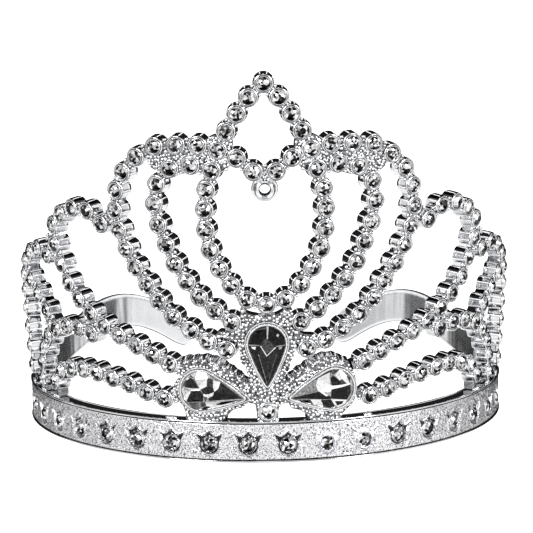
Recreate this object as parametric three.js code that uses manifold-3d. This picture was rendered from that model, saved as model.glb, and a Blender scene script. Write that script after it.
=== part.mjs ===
// Bridal tiara: a frosted head band with two smooth rear arms, carrying an openwork wall of
// round bezel cups chained into strands, three pear stones in pebbled settings and a row of
// round stones in tulip-shaped recesses.
// Millimetres, +Z up, front towards -Y. The wall follows a cone that leans out above the band.
import * as THREE from 'three';
import * as BufferGeometryUtils from 'three/addons/utils/BufferGeometryUtils.js';
import Module from 'manifold-3d';

const wasm = await Module();
wasm.setup();

// ---------------------------------------------------------------- driving dimensions
const RING_R = 72;            // outer radius of the band face
const RING_Y = 6.03;          // the ring's axis stands this far behind the origin
const BAND_H = 11.7;          // height of the band
const BAND_DEPTH = 4.8;       // radial depth of the band's top ledge
const BAND_WALL = 1.7;        // thickness of the band's face wall
const BAND_LIP = 1.2;         // height of the rim and of the foot bead
const BAND_BEAD = 0.35;       // how far rim and bead stand proud of the face
const BAND_END = 88;          // the band ends at this azimuth on each side, degrees
const LEAN = 4;               // outward lean of the openwork wall, degrees
const CUP_R = 2.65;           // outer radius of a bezel cup
const CUP_DEPTH = 4.4;        // radial depth of a bezel cup
const CUP_STONE_R = 2.0;      // girdle radius of the stone in a cup
const CUP_STONE_H = 0.8;      // how far that stone stands out of the cup
const CUP_STEP = 0.9;         // step from the cup's rim back to the links
const LINK_W = 1.9;           // width of the link between two cups
const GAP = 0.3;              // clearance between neighbouring pieces
const BAND_STONE_PITCH = 11.2; // spacing of the band's stones along the face
const BAND_STONE_Z = 4.86;    // height of their centres
const BAND_STONE_R = 2.1;     // girdle radius of a band stone
const BAND_STONES_PER_SIDE = 9;
const SEAT_R = 2.7;           // radius of the round seat under a band stone
const SEAT_DEPTH = 0.9;       // depth of seat and tulip recess
const PLATE_T = 2.6;          // thickness of the pebbled setting plates
const ARM_T = 1.6;            // thickness of a rear arm
const PEAR_L = 17.6;          // pear stone length
const PEAR_W = 10.6;          // pear stone width
const PEAR_RIM = 2.5;         // width of the pebbled border around a pear stone

// Cup centres on the front surface of the wall: [azimuth in degrees from the front, height].
// Each list is the right-hand strand; the left one is its mirror image.
const PEAK = [[3.05, 102.5], [5.5, 98.0], [7.7, 93.3], [9.5, 88.15], [5.7, 85.95], [2.35, 82.25]];
const PEAK_TOP = [0, 106.3];
const HEART = [[10.9, 82.6], [12.2, 77.2], [12.7, 71.7], [12.6, 66.0], [11.75, 60.4], [9.9, 55.2], [7.45, 50.55], [4.1, 46.6]];
const HEART_POINT = [0, 45.0];
const INNER = [[15.3, 83.9], [19.8, 82.9], [23.0, 78.5], [23.8, 72.85], [23.05, 67.05], [21.5, 61.6], [19.7, 56.2], [17.15, 51.4], [14.45, 47.0], [11.1, 43.3], [7.5, 40.1]];
const OUTER = [[13.65, 89.5], [18.2, 89.5], [23.0, 89.0], [27.4, 85.85], [30.9, 81.4], [32.9, 76.25], [33.45, 70.45], [32.75, 64.9], [31.25, 59.65], [29.15, 54.6], [26.5, 49.8], [23.9, 45.35], [20.65, 41.0], [16.85, 37.6], [12.9, 34.55], [8.8, 32.25]];
const SIDE = [[37.7, 66.1], [41.45, 69.55], [46.2, 69.8], [50.6, 67.5], [54.0, 63.9], [53.8, 58.3], [52.0, 52.9], [49.7, 47.6], [46.35, 43.3], [42.75, 39.7], [38.95, 36.65], [34.7, 34.35], [30.25, 31.95], [26.05, 29.75], [22.2, 27.45]];
const LOWER = [[23.7, 17.3], [28.3, 18.7], [32.9, 20.4], [37.55, 21.5], [42.3, 22.4], [47.0, 22.6], [51.65, 22.1], [56.2, 20.2], [59.8, 16.5]];
const CROSS = [[43.0, 33.7], [47.5, 34.7], [52.1, 34.5], [56.9, 32.7], [61.2, 29.6], [64.6, 25.4], [66.8, 20.6], [67.8, 15.3]];
const REAR = [[57.9, 54.5], [62.8, 55.6], [68.2, 53.6], [73.2, 50.0], [76.7, 45.2], [78.7, 39.8], [79.7, 34.1], [80.1, 28.3], [80.0, 22.5], [79.5, 16.6]];
const RETURN = [[69.5, 45.0], [65.0, 41.6], [60.9, 37.4]];

// ---------------------------------------------------------------- materials
const frosted = new THREE.MeshStandardMaterial({ color: 0xd9dadc, roughness: 0.45, metalness: 1 });
const polished = new THREE.MeshStandardMaterial({ color: 0xe6e7ea, roughness: 0.12, metalness: 1 });
const mirror = new THREE.MeshStandardMaterial({ color: 0xe9eaee, roughness: 0.06, metalness: 1 });
const crystal = new THREE.MeshStandardMaterial({ color: 0xdfe3ea, roughness: 0.03, metalness: 0.6 });

// ---------------------------------------------------------------- solids
const rad = THREE.MathUtils.degToRad;
const tanLean = Math.tan(rad(LEAN));
const faceR = z => RING_R + Math.max(z - BAND_H, 0) * tanLean;

function solid(geometry) {
  let g = geometry.clone();
  g.deleteAttribute('normal');
  g.deleteAttribute('uv');
  g = BufferGeometryUtils.mergeVertices(g, 1e-4);
  return new wasm.Manifold(new wasm.Mesh({
    numProp: 3,
    vertProperties: Float32Array.from(g.attributes.position.array),
    triVerts: Uint32Array.from(g.index.array),
  }));
}
function geometryOf(manifold) {
  const m = manifold.getMesh();
  const g = new THREE.BufferGeometry();
  g.setAttribute('position', new THREE.BufferAttribute(Float32Array.from(m.vertProperties), 3));
  g.setIndex(new THREE.BufferAttribute(Uint32Array.from(m.triVerts), 1));
  return g;
}

// A frame on the wall: x along the wall, y up the wall, z out of it.
function wallFrame(azimuth, z, out = 0) {
  const a = rad(azimuth), t = rad(LEAN);
  const normal = new THREE.Vector3(Math.sin(a) * Math.cos(t), -Math.cos(a) * Math.cos(t), -Math.sin(t));
  const along = new THREE.Vector3(Math.cos(a), Math.sin(a), 0);
  const up = new THREE.Vector3().crossVectors(normal, along);
  const r = faceR(z);
  const p = new THREE.Vector3(r * Math.sin(a), -r * Math.cos(a), z).addScaledVector(normal, out);
  return new THREE.Matrix4().makeBasis(along, up, normal).setPosition(p);
}
const alongWall = (geometry, azimuth, z, out = 0) => geometry.applyMatrix4(wallFrame(azimuth, z, out));

// A turned solid of revolution about its own z axis: profile is [radius, z] pairs from axis to axis.
function turned(profile, sides, phase = 0) {
  return new THREE.LatheGeometry(profile.map(p => new THREE.Vector2(p[0], p[1])), sides, phase)
    .rotateX(Math.PI / 2);
}
function linkAngle(from, to) {
  const v = new THREE.Vector3().setFromMatrixPosition(wallFrame(to[0], to[1]))
    .applyMatrix4(wallFrame(from[0], from[1]).invert());
  return Math.atan2(v.y, v.x);
}
// One strand: a chain of eight-sided cups, each topped by its bezel and stone as a frustum,
// joined by straight links. With closed set the chain is a loop. With foot set the last cup
// stands on a post that stops just above the band.
function strandGeometry(cups, { closed = false, foot = false } = {}) {
  const n = cups.length, r = CUP_R * 1.03, d = Math.asin(LINK_W / 2 / r);
  const position = [], index = [];
  const vertex = (azimuth, z, out) => {
    const v = new THREE.Vector3().setFromMatrixPosition(wallFrame(azimuth, z, out));
    return position.push(v.x, v.y, v.z) / 3 - 1;
  };
  const quad = (a, b, c, e) => index.push(a, b, c, a, c, e);
  const fan = (ring, flip) => {
    for (let k = 1; k + 1 < ring.length; k++) {
      if (flip) index.push(ring[0], ring[k + 1], ring[k]); else index.push(ring[0], ring[k], ring[k + 1]);
    }
  };
  const on = ([azimuth, z], t, radius) => [
    azimuth + radius * Math.cos(t) / faceR(z) * 180 / Math.PI, z + radius * Math.sin(t) * Math.cos(rad(LEAN))];
  const rings = cups.map((cup, i) => {
    const next = closed ? cups[(i + 1) % n] : cups[i + 1] || (foot ? [cup[0], BAND_H + GAP] : null);
    const prev = closed ? cups[(i + n - 1) % n] : cups[i - 1];
    const tn = next ? linkAngle(cup, next) : linkAngle(cup, prev) + Math.PI;
    const tp = prev ? linkAngle(cup, prev) : tn + Math.PI;
    // eight corners, anticlockwise: four on the right of the run, four on the left
    const angles = [];
    for (const [from, to] of [[tp + d, tn - d], [tn + d, tp - d]]) {
      let span = (to - from) % (2 * Math.PI);
      if (span < 0) span += 2 * Math.PI;
      for (let k = 0; k < 4; k++) angles.push(from + span * k / 3);
    }
    const ring = (out, scale) => angles.map(t => vertex(...on(cup, t, r * scale), out));
    return { back: ring(-CUP_DEPTH, 1), front: ring(-CUP_STEP, 1), top: ring(CUP_STONE_H, 0.5), next, prev };
  });
  rings.forEach((ring, i) => {
    fan(ring.back, true);
    fan(ring.top, false);
    for (let k = 0; k < 8; k++) {
      const l = (k + 1) % 8;
      quad(ring.front[k], ring.front[l], ring.top[l], ring.top[k]);
      // corner 3 to 4 faces the next cup, corner 7 to 0 the previous one
      if ((k === 3 && ring.next) || (k === 7 && ring.prev)) continue;
      quad(ring.back[k], ring.back[l], ring.front[l], ring.front[k]);
    }
    if (!ring.next) return;
    let to;
    if (closed || i + 1 < n) {
      const other = rings[(i + 1) % n];
      to = { back: [other.back[0], other.back[7]], front: [other.front[0], other.front[7]] };
    } else {
      const half = LINK_W / 2 / RING_R * 180 / Math.PI, [azimuth] = cups[i], z = BAND_H + GAP;
      const pair = out => [vertex(azimuth - half, z, out), vertex(azimuth + half, z, out)];
      to = { back: pair(-CUP_DEPTH), front: pair(-CUP_STEP) };
      quad(to.back[0], to.back[1], to.front[1], to.front[0]);
    }
    const from = { back: [ring.back[3], ring.back[4]], front: [ring.front[3], ring.front[4]] };
    quad(from.back[0], to.back[0], to.front[0], from.front[0]);   // right side
    quad(to.back[1], from.back[1], from.front[1], to.front[1]);   // left side
    quad(from.front[0], to.front[0], to.front[1], from.front[1]); // front
    quad(from.back[1], to.back[1], to.back[0], from.back[0]);     // back
  });
  const g = new THREE.BufferGeometry();
  g.setAttribute('position', new THREE.BufferAttribute(Float32Array.from(position), 3));
  g.setIndex(index);
  return g;
}
const mirrored = list => list.map(([a, z]) => [-a, z]);

// Keeps a piece clear of cups that belong to its neighbours.
function clearOf(piece, cups, radius = CUP_R + GAP) {
  for (const [a, z] of cups) {
    const tool = new THREE.CylinderGeometry(radius / Math.cos(Math.PI / 9), radius / Math.cos(Math.PI / 9), 16, 9).rotateX(Math.PI / 2);
    piece = piece.subtract(solid(alongWall(tool, a, z, -2)));
  }
  return piece;
}

// ---------------------------------------------------------------- band
function bandSolid() {
  const Ri = RING_R - BAND_DEPTH, Rw = RING_R - BAND_WALL, Ro = RING_R, Rb = RING_R + BAND_BEAD;
  const profile = [
    [Ri, 0], [Rb, 0], [Rb, BAND_LIP - 0.2], [Ro, BAND_LIP], [Ro, BAND_H - 1.1], [Rb, BAND_H - 0.8], [Rb, BAND_H],
    [Ri, BAND_H], [Ri, BAND_H - 1.3], [Rw, BAND_H - 1.3], [Rw, BAND_LIP], [Ri, BAND_LIP], [Ri, 0],
  ].map(p => new THREE.Vector2(p[0], p[1]));
  let ring = solid(new THREE.LatheGeometry(profile, 60).rotateX(Math.PI / 2));
  // the ring is open at the back: a wedge takes away everything past BAND_END
  const far = 200, e = rad(BAND_END);
  const wedge = new THREE.Shape([
    new THREE.Vector2(0, 0.001), new THREE.Vector2(far * Math.sin(e), -far * Math.cos(e)),
    new THREE.Vector2(far, far), new THREE.Vector2(-far, far), new THREE.Vector2(-far * Math.sin(e), -far * Math.cos(e)),
  ]);
  ring = ring.subtract(solid(new THREE.ExtrudeGeometry(wedge, { depth: 60, bevelEnabled: false }).translate(0, 0, -20)));
  // round seats, each crowned by a three-pointed tulip recess
  const tulip = new THREE.Shape();
  tulip.moveTo(-SEAT_R, 0);
  for (const [x, y] of [[-3.6, 3.1], [-1.9, 2.3], [0, 3.85], [1.9, 2.3], [3.6, 3.1], [SEAT_R, 0]]) tulip.lineTo(x, y);
  tulip.absarc(0, 0, SEAT_R, 0, -Math.PI, true);
  for (let i = 0; i < BAND_STONES_PER_SIDE; i++) {
    for (const side of [-1, 1]) {
      const a = side * (i + 0.5) * BAND_STONE_PITCH / RING_R * 180 / Math.PI;
      const recess = new THREE.ExtrudeGeometry(tulip, { depth: 4, bevelEnabled: false, curveSegments: 7 });
      recess.translate(0, BAND_STONE_Z, RING_R - SEAT_DEPTH);
      recess.applyMatrix4(new THREE.Matrix4().makeBasis(
        new THREE.Vector3(Math.cos(rad(a)), Math.sin(rad(a)), 0),
        new THREE.Vector3(0, 0, 1),
        new THREE.Vector3(Math.sin(rad(a)), -Math.cos(rad(a)), 0)));
      ring = ring.subtract(solid(recess));
    }
  }
  return ring;
}
function bandStoneSolid(azimuth) {
  const a = rad(azimuth);
  const stone = turned([[0, 0], [BAND_STONE_R * 0.8, 0], [BAND_STONE_R, 0.5], [BAND_STONE_R * 0.55, 1.1], [0, 1.1]], 8);
  stone.applyMatrix4(new THREE.Matrix4().makeBasis(
    new THREE.Vector3(Math.cos(a), Math.sin(a), 0), new THREE.Vector3(0, 0, 1),
    new THREE.Vector3(Math.sin(a), -Math.cos(a), 0))
    .setPosition((RING_R - SEAT_DEPTH + GAP) * Math.sin(a), -(RING_R - SEAT_DEPTH + GAP) * Math.cos(a), BAND_STONE_Z));
  return solid(stone);
}

// ---------------------------------------------------------------- rear arms
// Edges of an arm along its run: [arc length from the band end, lower edge, upper edge].
const ARM_EDGES = [
  [0.0, 0.0, 11.7], [8, 1.2, 13.0], [16, 3.0, 14.2], [26, 5.6, 16.6], [36, 8.6, 19.6], [46, 11.8, 23.2],
  [54, 14.2, 25.6], [62, 15.3, 26.3], [69, 14.5, 25.3], [75, 12.3, 23.4], [80, 9.6, 21.4], [84, 7.1, 19.2],
  [87, 6.0, 17.2], [89, 6.6, 15.2], [90.2, 8.2, 13.4],
];
function armSolid(side) {
  const n = 28;
  const total = ARM_EDGES[ARM_EDGES.length - 1][0];
  const lower = new THREE.SplineCurve(ARM_EDGES.map(e => new THREE.Vector2(e[0], e[1])));
  const upper = new THREE.SplineCurve(ARM_EDGES.map(e => new THREE.Vector2(e[0], e[2])));
  const box = new THREE.BoxGeometry(1, ARM_T, 1, n, 1, 1);
  const p = box.attributes.position;
  const start = rad(BAND_END) + GAP / RING_R;
  for (let i = 0; i < p.count; i++) {
    const u = p.getX(i) + 0.5;
    const lo = lower.getPoint(u), hi = upper.getPoint(u);
    const edge = p.getZ(i) > 0 ? hi : lo;
    const a = side * (start + edge.x / RING_R);
    const r = RING_R - ARM_T / 2 - 0.2 - p.getY(i);
    p.setXYZ(i, r * Math.sin(a), -r * Math.cos(a), edge.y);
  }
  if (side > 0) return solid(box);
  return solid(flipped(box));
}
function flipped(geometry) {
  const index = geometry.index.array;
  for (let i = 0; i < index.length; i += 3) [index[i], index[i + 1]] = [index[i + 1], index[i]];
  return geometry;
}

// ---------------------------------------------------------------- pear stones and settings
// Pear outline in its own plane: round end centred on the origin, tip at -x.
function pearPoints(length, width, count = 20) {
  const r = width / 2, tip = length - r;
  const half = [];
  const tangent = Math.acos(r / tip * 0.86);
  const nArc = Math.round(count * 0.36);
  for (let i = 0; i <= nArc; i++) {
    const t = (i / nArc) * (Math.PI - tangent);
    half.push(new THREE.Vector2(r * Math.cos(t), r * Math.sin(t)));
  }
  const last = half[half.length - 1];
  for (const f of [0.35, 0.7]) {
    const bulge = Math.sin(f * Math.PI) * 0.35;
    half.push(new THREE.Vector2(last.x + (-tip - last.x) * f - bulge * 0.3, last.y * (1 - f) + bulge));
  }
  const pts = [...half, new THREE.Vector2(-tip, 0)];
  for (let i = half.length - 1; i > 0; i--) pts.push(new THREE.Vector2(half[i].x, -half[i].y));
  return pts;
}
const offsetPear = d => pearPoints(PEAR_L + 2 * d + (d > 0 ? d * 0.9 : 0), PEAR_W + 2 * d);

// Where each pear stone's round end is centred, the way its tip points (degrees,
// anticlockwise from the wall's own x axis) and how far its face stands out of the wall.
const PEARS = {
  centre: { at: [0, 34.3], turn: 90 },
  right: { at: [14.9, 20.3], turn: 8 },
  left: { at: [-14.9, 20.3], turn: 172 },
};
function pearFrame({ at, turn }) {
  const m = wallFrame(at[0], at[1], -0.3);
  return m.multiply(new THREE.Matrix4().makeRotationZ(rad(turn)));
}
function pearStoneSolid(pear) {
  const bevel = 1.1;
  const g = new THREE.ExtrudeGeometry(new THREE.Shape(pearPoints(PEAR_L - 2 * bevel - 0.9, PEAR_W - 2 * bevel)), {
    depth: 0.5, bevelEnabled: true, bevelThickness: 0.9, bevelSize: bevel, bevelSegments: 1,
  });
  g.translate(0, 0, -0.15 + 0.9 - 0.9);
  return solid(g.applyMatrix4(pearFrame(pear)));
}
function pearSettingSolid(pear, outline) {
  const plate = new THREE.ExtrudeGeometry(outline, { depth: PLATE_T, bevelEnabled: false, curveSegments: 3 });
  plate.translate(0, 0, -PLATE_T);
  const bezel = new THREE.ExtrudeGeometry(new THREE.Shape(offsetPear(1.0)), { depth: PLATE_T + 0.5, bevelEnabled: false });
  bezel.translate(0, 0, -PLATE_T);
  const pocket = new THREE.ExtrudeGeometry(new THREE.Shape(offsetPear(GAP)), { depth: 6, bevelEnabled: false });
  pocket.translate(0, 0, -1.4);
  const m = pearFrame(pear);
  return solid(plate.applyMatrix4(m)).add(solid(bezel.applyMatrix4(m))).subtract(solid(pocket.applyMatrix4(m)));
}
// Border of a side pear: scalloped along its upper edge, straight towards the band below.
function sideBorder(flip) {
  const pts = offsetPear(PEAR_RIM);
  const out = pts.map((p, i) => {
    const upper = flip ? p.y < 0 : p.y > 0;
    const k = upper && i % 2 ? 0.55 : 0;
    const len = Math.hypot(p.x, p.y) || 1;
    return new THREE.Vector2(p.x + p.x / len * k * 0.5, p.y + Math.sign(p.y) * k);
  });
  return new THREE.Shape(out);
}

// A thin plate on the wall, from an outline of [azimuth, height] points.
function webSolid(points, depth = PLATE_T) {
  const c = points.reduce((s, p) => [s[0] + p[0] / points.length, s[1] + p[1] / points.length], [0, 0]);
  const inv = wallFrame(c[0], c[1]).invert();
  const flat = points.map(([a, z]) => {
    const v = new THREE.Vector3().setFromMatrixPosition(wallFrame(a, z)).applyMatrix4(inv);
    return new THREE.Vector2(v.x, v.y);
  });
  if (THREE.ShapeUtils.area(flat) < 0) flat.reverse();
  const g = new THREE.ExtrudeGeometry(new THREE.Shape(flat), { depth, bevelEnabled: false });
  g.translate(0, 0, -depth - 0.8);
  return solid(alongWall(g, c[0], c[1]));
}

// ---------------------------------------------------------------- assembly
const tiara = new THREE.Group();
const ring = new THREE.Group();
ring.position.set(0, RING_Y, 0);
tiara.add(ring);
function place(name, shape, material) {
  const mesh = new THREE.Mesh(shape.isBufferGeometry ? shape : geometryOf(shape), material);
  mesh.name = name;
  ring.add(mesh);
}

place('head_band', bandSolid(), frosted);
place('rear_arm_right', armSolid(1), mirror);
place('rear_arm_left', armSolid(-1), mirror);

const peakCups = [PEAK_TOP, ...PEAK, ...mirrored(PEAK).reverse()];
place('peak_strand', strandGeometry(peakCups, { closed: true }), polished);
const heartCups = [...HEART, HEART_POINT, ...mirrored(HEART).reverse()];
place('heart_strand', strandGeometry(heartCups), polished);

for (const [side, name] of [[1, 'right'], [-1, 'left']]) {
  const s = list => (side > 0 ? list : mirrored(list));
  place(`inner_petal_${name}`, strandGeometry(s(INNER)), polished);
  place(`outer_petal_${name}`, strandGeometry(s(OUTER)), polished);
  place(`side_petal_${name}`, strandGeometry(s(SIDE)), polished);
  place(`lower_strand_${name}`, strandGeometry(s(LOWER), { foot: true }), polished);
  place(`cross_strand_${name}`, strandGeometry(s(CROSS), { foot: true }), polished);
  place(`rear_petal_${name}`, strandGeometry(s(REAR), { foot: true }), polished);
  place(`return_strand_${name}`, strandGeometry(s(RETURN)), polished);
}

// eyelet below the peak, an open ring
{
  const at = [0, 77.2];
  const outer = new THREE.CylinderGeometry(2.3, 2.75, 2.6, 14).rotateX(Math.PI / 2);
  const bore = new THREE.CylinderGeometry(1.45, 1.45, 8, 10).rotateX(Math.PI / 2);
  const stem = new THREE.BoxGeometry(2.6, 2.2, 1.8).translate(0, 2.6, 0);
  const m = wallFrame(at[0], at[1], -2.4);
  let eye = solid(outer.applyMatrix4(m)).add(solid(stem.applyMatrix4(m))).subtract(solid(bore.applyMatrix4(m)));
  eye = clearOf(eye, [[2.35, 82.25], [-2.35, 82.25]]);
  place('eyelet', eye, polished);
}

// pebbled webs between the inner and outer petals
for (const [side, name] of [[1, 'right'], [-1, 'left']]) {
  const s = list => (side > 0 ? list : mirrored(list));
  const web = clearOf(webSolid(s([[15.9, 86.3], [19.5, 86.7], [23.5, 86.2], [26.3, 82.6], [24.9, 81.6], [22.3, 83.4], [19.0, 85.4]])), [...s(OUTER), ...s(INNER)]);
  place(`pebbled_web_${name}`, web, polished);
}

// centre setting: pear border, then two shoulders that meet the strands
{
  const border = new THREE.Shape(offsetPear(PEAR_RIM - 0.35));
  let setting = pearSettingSolid(PEARS.centre, border);
  const shoulder = webSolid([[-3.2, 41.2], [3.2, 41.2], [7.4, 36.6], [6.6, 29.0], [4.4, 24.0], [-4.4, 24.0], [-6.6, 29.0], [-7.4, 36.6]]);
  const m = pearFrame(PEARS.centre);
  const pocket = new THREE.ExtrudeGeometry(new THREE.Shape(offsetPear(GAP)), { depth: 6, bevelEnabled: false }).translate(0, 0, -1.4);
  setting = setting.add(shoulder).subtract(solid(pocket.applyMatrix4(m)));
  setting = clearOf(setting, [HEART_POINT, HEART.at(-1), INNER.at(-1), OUTER.at(-1), OUTER.at(-2), ...mirrored([HEART.at(-1), INNER.at(-1), OUTER.at(-1), OUTER.at(-2)])]);
  place('pear_setting_centre', setting, polished);
  place('pear_stone_centre', pearStoneSolid(PEARS.centre), crystal);
}
for (const name of ['right', 'left']) {
  const side = name === 'right' ? 1 : -1;
  const s = list => (side > 0 ? list : mirrored(list));
  let setting = pearSettingSolid(PEARS[name], sideBorder(side < 0));
  setting = clearOf(setting, [...s(LOWER).slice(0, 1), ...s(SIDE).slice(-1), [0, 14.7]]);
  // the border stops just above the band and beside the centre line
  const below = new THREE.BoxGeometry(80, 40, 40).translate(side * 20, -RING_R, BAND_H + GAP - 20);
  const beside = new THREE.BoxGeometry(20, 60, 60).translate(side * (2.6 - 10), -RING_R, 30);
  setting = setting.subtract(solid(below)).subtract(solid(beside));
  place(`pear_setting_${name}`, setting, polished);
  place(`pear_stone_${name}`, pearStoneSolid(PEARS[name]), crystal);
}

// small round setting that stands on the band under the centre pear
{
  const base = [0, 14.7];
  const body = turned([[0, -4.2], [2.65, -4.2], [2.62, 0], [2.3, 0], [2.3, -0.9], [0, -0.9]], 14);
  place('round_setting', solid(alongWall(body, base[0], base[1])), polished);
  const stone = turned([[0, 0], [1.6, 0], [2.0, 0.5], [1.1, 1.2], [0, 1.2]], 10);
  place('round_stone', solid(alongWall(stone, base[0], base[1], -0.6)), crystal);
}

for (const [side, name] of [[1, 'right'], [-1, 'left']]) {
  for (let i = 0; i < BAND_STONES_PER_SIDE; i++) {
    const a = side * (i + 0.5) * BAND_STONE_PITCH / RING_R * 180 / Math.PI;
    place(`band_stone_${name}_${i + 1}`, bandStoneSolid(a), crystal);
  }
}

export default tiara;
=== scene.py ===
# Bridal tiara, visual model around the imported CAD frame. Lengths in the tables are millimetres
# and degrees on the wall of the tiara, as in the CAD source; meshes are made in metres.
import bpy
import math
import numpy as np
from mathutils import Vector, Matrix
from mathutils.geometry import delaunay_2d_cdt


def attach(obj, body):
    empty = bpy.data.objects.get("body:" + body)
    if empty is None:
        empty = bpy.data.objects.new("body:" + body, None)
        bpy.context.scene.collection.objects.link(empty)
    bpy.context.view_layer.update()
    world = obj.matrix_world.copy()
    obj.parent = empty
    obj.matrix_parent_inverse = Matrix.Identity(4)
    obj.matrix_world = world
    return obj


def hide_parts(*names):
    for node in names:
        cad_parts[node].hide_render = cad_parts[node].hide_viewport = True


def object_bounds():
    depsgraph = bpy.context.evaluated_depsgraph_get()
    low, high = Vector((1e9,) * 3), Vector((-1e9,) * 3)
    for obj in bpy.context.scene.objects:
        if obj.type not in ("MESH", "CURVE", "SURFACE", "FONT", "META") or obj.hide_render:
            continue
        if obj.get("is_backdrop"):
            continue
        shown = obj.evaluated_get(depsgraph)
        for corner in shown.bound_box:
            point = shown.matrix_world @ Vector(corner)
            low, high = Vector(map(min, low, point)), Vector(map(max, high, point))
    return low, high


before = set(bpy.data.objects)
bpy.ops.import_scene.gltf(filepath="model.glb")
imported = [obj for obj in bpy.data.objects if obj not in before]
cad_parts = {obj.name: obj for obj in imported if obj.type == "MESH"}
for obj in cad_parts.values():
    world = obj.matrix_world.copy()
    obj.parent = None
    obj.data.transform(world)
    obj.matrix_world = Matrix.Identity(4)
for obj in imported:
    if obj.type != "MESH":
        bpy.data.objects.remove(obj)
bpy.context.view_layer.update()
MM = 0.001
rng = np.random.default_rng(4127)

# ------------------------------------------------------------------ dimensions
RING_R, RING_Y, BAND_H, BAND_DEPTH, BAND_WALL = 72.0, 6.03, 11.7, 4.8, 1.7
LEAN = math.radians(4)
BAND_STONE_PITCH, BAND_STONE_Z = 11.2, 4.86

PEAK = [[3.05, 102.5], [5.5, 98.0], [7.7, 93.3], [9.5, 88.15], [5.7, 85.95], [2.35, 82.25]]
PEAK_TOP = [0, 106.3]
HEART = [[10.9, 82.6], [12.2, 77.2], [12.7, 71.7], [12.6, 66.0], [11.75, 60.4], [9.9, 55.2], [7.45, 50.55], [4.1, 46.6]]
HEART_POINT = [0, 45.0]
INNER = [[15.3, 83.9], [19.8, 82.9], [23.0, 78.5], [23.8, 72.85], [23.05, 67.05], [21.5, 61.6], [19.7, 56.2], [17.15, 51.4], [14.45, 47.0], [11.1, 43.3], [7.5, 40.1]]
OUTER = [[13.65, 89.5], [18.2, 89.5], [23.0, 89.0], [27.4, 85.85], [30.9, 81.4], [32.9, 76.25], [33.45, 70.45], [32.75, 64.9], [31.25, 59.65], [29.15, 54.6], [26.5, 49.8], [23.9, 45.35], [20.65, 41.0], [16.85, 37.6], [12.9, 34.55], [8.8, 32.25]]
SIDE = [[37.7, 66.1], [41.45, 69.55], [46.2, 69.8], [50.6, 67.5], [54.0, 63.9], [53.8, 58.3], [52.0, 52.9], [49.7, 47.6], [46.35, 43.3], [42.75, 39.7], [38.95, 36.65], [34.7, 34.35], [30.25, 31.95], [26.05, 29.75], [22.2, 27.45]]
LOWER = [[23.7, 17.3], [28.3, 18.7], [32.9, 20.4], [37.55, 21.5], [42.3, 22.4], [47.0, 22.6], [51.65, 22.1], [56.2, 20.2], [59.8, 16.5]]
CROSS = [[43.0, 33.7], [47.5, 34.7], [52.1, 34.5], [56.9, 32.7], [61.2, 29.6], [64.6, 25.4], [66.8, 20.6], [67.8, 15.3]]
REAR = [[57.9, 54.5], [62.8, 55.6], [68.2, 53.6], [73.2, 50.0], [76.7, 45.2], [78.7, 39.8], [79.7, 34.1], [80.1, 28.3], [80.0, 22.5], [79.5, 16.6]]
RETURN = [[69.5, 45.0], [65.0, 41.6], [60.9, 37.4]]


def mirrored(pts):
    return [[-a, z] for a, z in pts]


def face_r(z):
    return RING_R + max(z - BAND_H, 0.0) * math.tan(LEAN)


def wall(az, z, out=0.0):
    """Point on the wall and its basis, columns along / up / out."""
    a = math.radians(az)
    n = np.array([math.sin(a) * math.cos(LEAN), -math.cos(a) * math.cos(LEAN), -math.sin(LEAN)])
    al = np.array([math.cos(a), math.sin(a), 0.0])
    up = np.cross(n, al)
    r = face_r(z)
    p = np.array([r * math.sin(a), -r * math.cos(a) + RING_Y, z]) + out * n
    return p, np.stack([al, up, n], axis=1)


def wall_points(sz, out):
    """Many points at once: sz is (n,2) of arc length in mm at RING_R and height."""
    sz = np.asarray(sz, float)
    a = sz[:, 0] / RING_R
    r = RING_R + np.maximum(sz[:, 1] - BAND_H, 0) * math.tan(LEAN)
    n = np.stack([np.sin(a) * math.cos(LEAN), -np.cos(a) * math.cos(LEAN), np.full_like(a, -math.sin(LEAN))], 1)
    p = np.stack([r * np.sin(a), -r * np.cos(a) + RING_Y, sz[:, 1]], 1)
    return p + n * np.asarray(out, float).reshape(-1, 1) if np.ndim(out) else p + n * out


# ------------------------------------------------------------------ mesh building
class Build:
    """Gathers closed shells in millimetres, then makes one mesh object."""

    def __init__(self):
        self.v, self.f, self.m, self.s, self.t = [], [], [], [], []
        self.n = 0

    def add(self, verts, faces, mat=0, smooth=True, tone=1.0):
        """faces: list of tuples; mat and tone may be lists, one per face."""
        verts = np.asarray(verts, float)
        self.v.append(verts)
        n = self.n
        self.f.extend([tuple(i + n for i in f) for f in faces])
        self.m.extend(mat if isinstance(mat, (list, np.ndarray)) else [mat] * len(faces))
        self.s.extend([smooth] * len(faces))
        self.t.extend(tone if isinstance(tone, (list, np.ndarray)) else [tone] * len(faces))
        self.n += len(verts)

    def make(self, name, materials, sharp=38, use_tone=False):
        me = bpy.data.meshes.new(name)
        v = np.concatenate(self.v) * MM
        me.from_pydata(v.tolist(), [], self.f)
        me.polygons.foreach_set("material_index", np.array(self.m, np.int32))
        me.polygons.foreach_set("use_smooth", np.array(self.s, bool))
        for m in materials:
            me.materials.append(m)
        if use_tone:
            at = me.attributes.new("tone", "FLOAT", "FACE")
            at.data.foreach_set("value", np.array(self.t, np.float32))
        me.update()
        if sharp:
            me.set_sharp_from_angle(angle=math.radians(sharp))
        ob = bpy.data.objects.new(name, me)
        bpy.context.scene.collection.objects.link(ob)
        return ob


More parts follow.
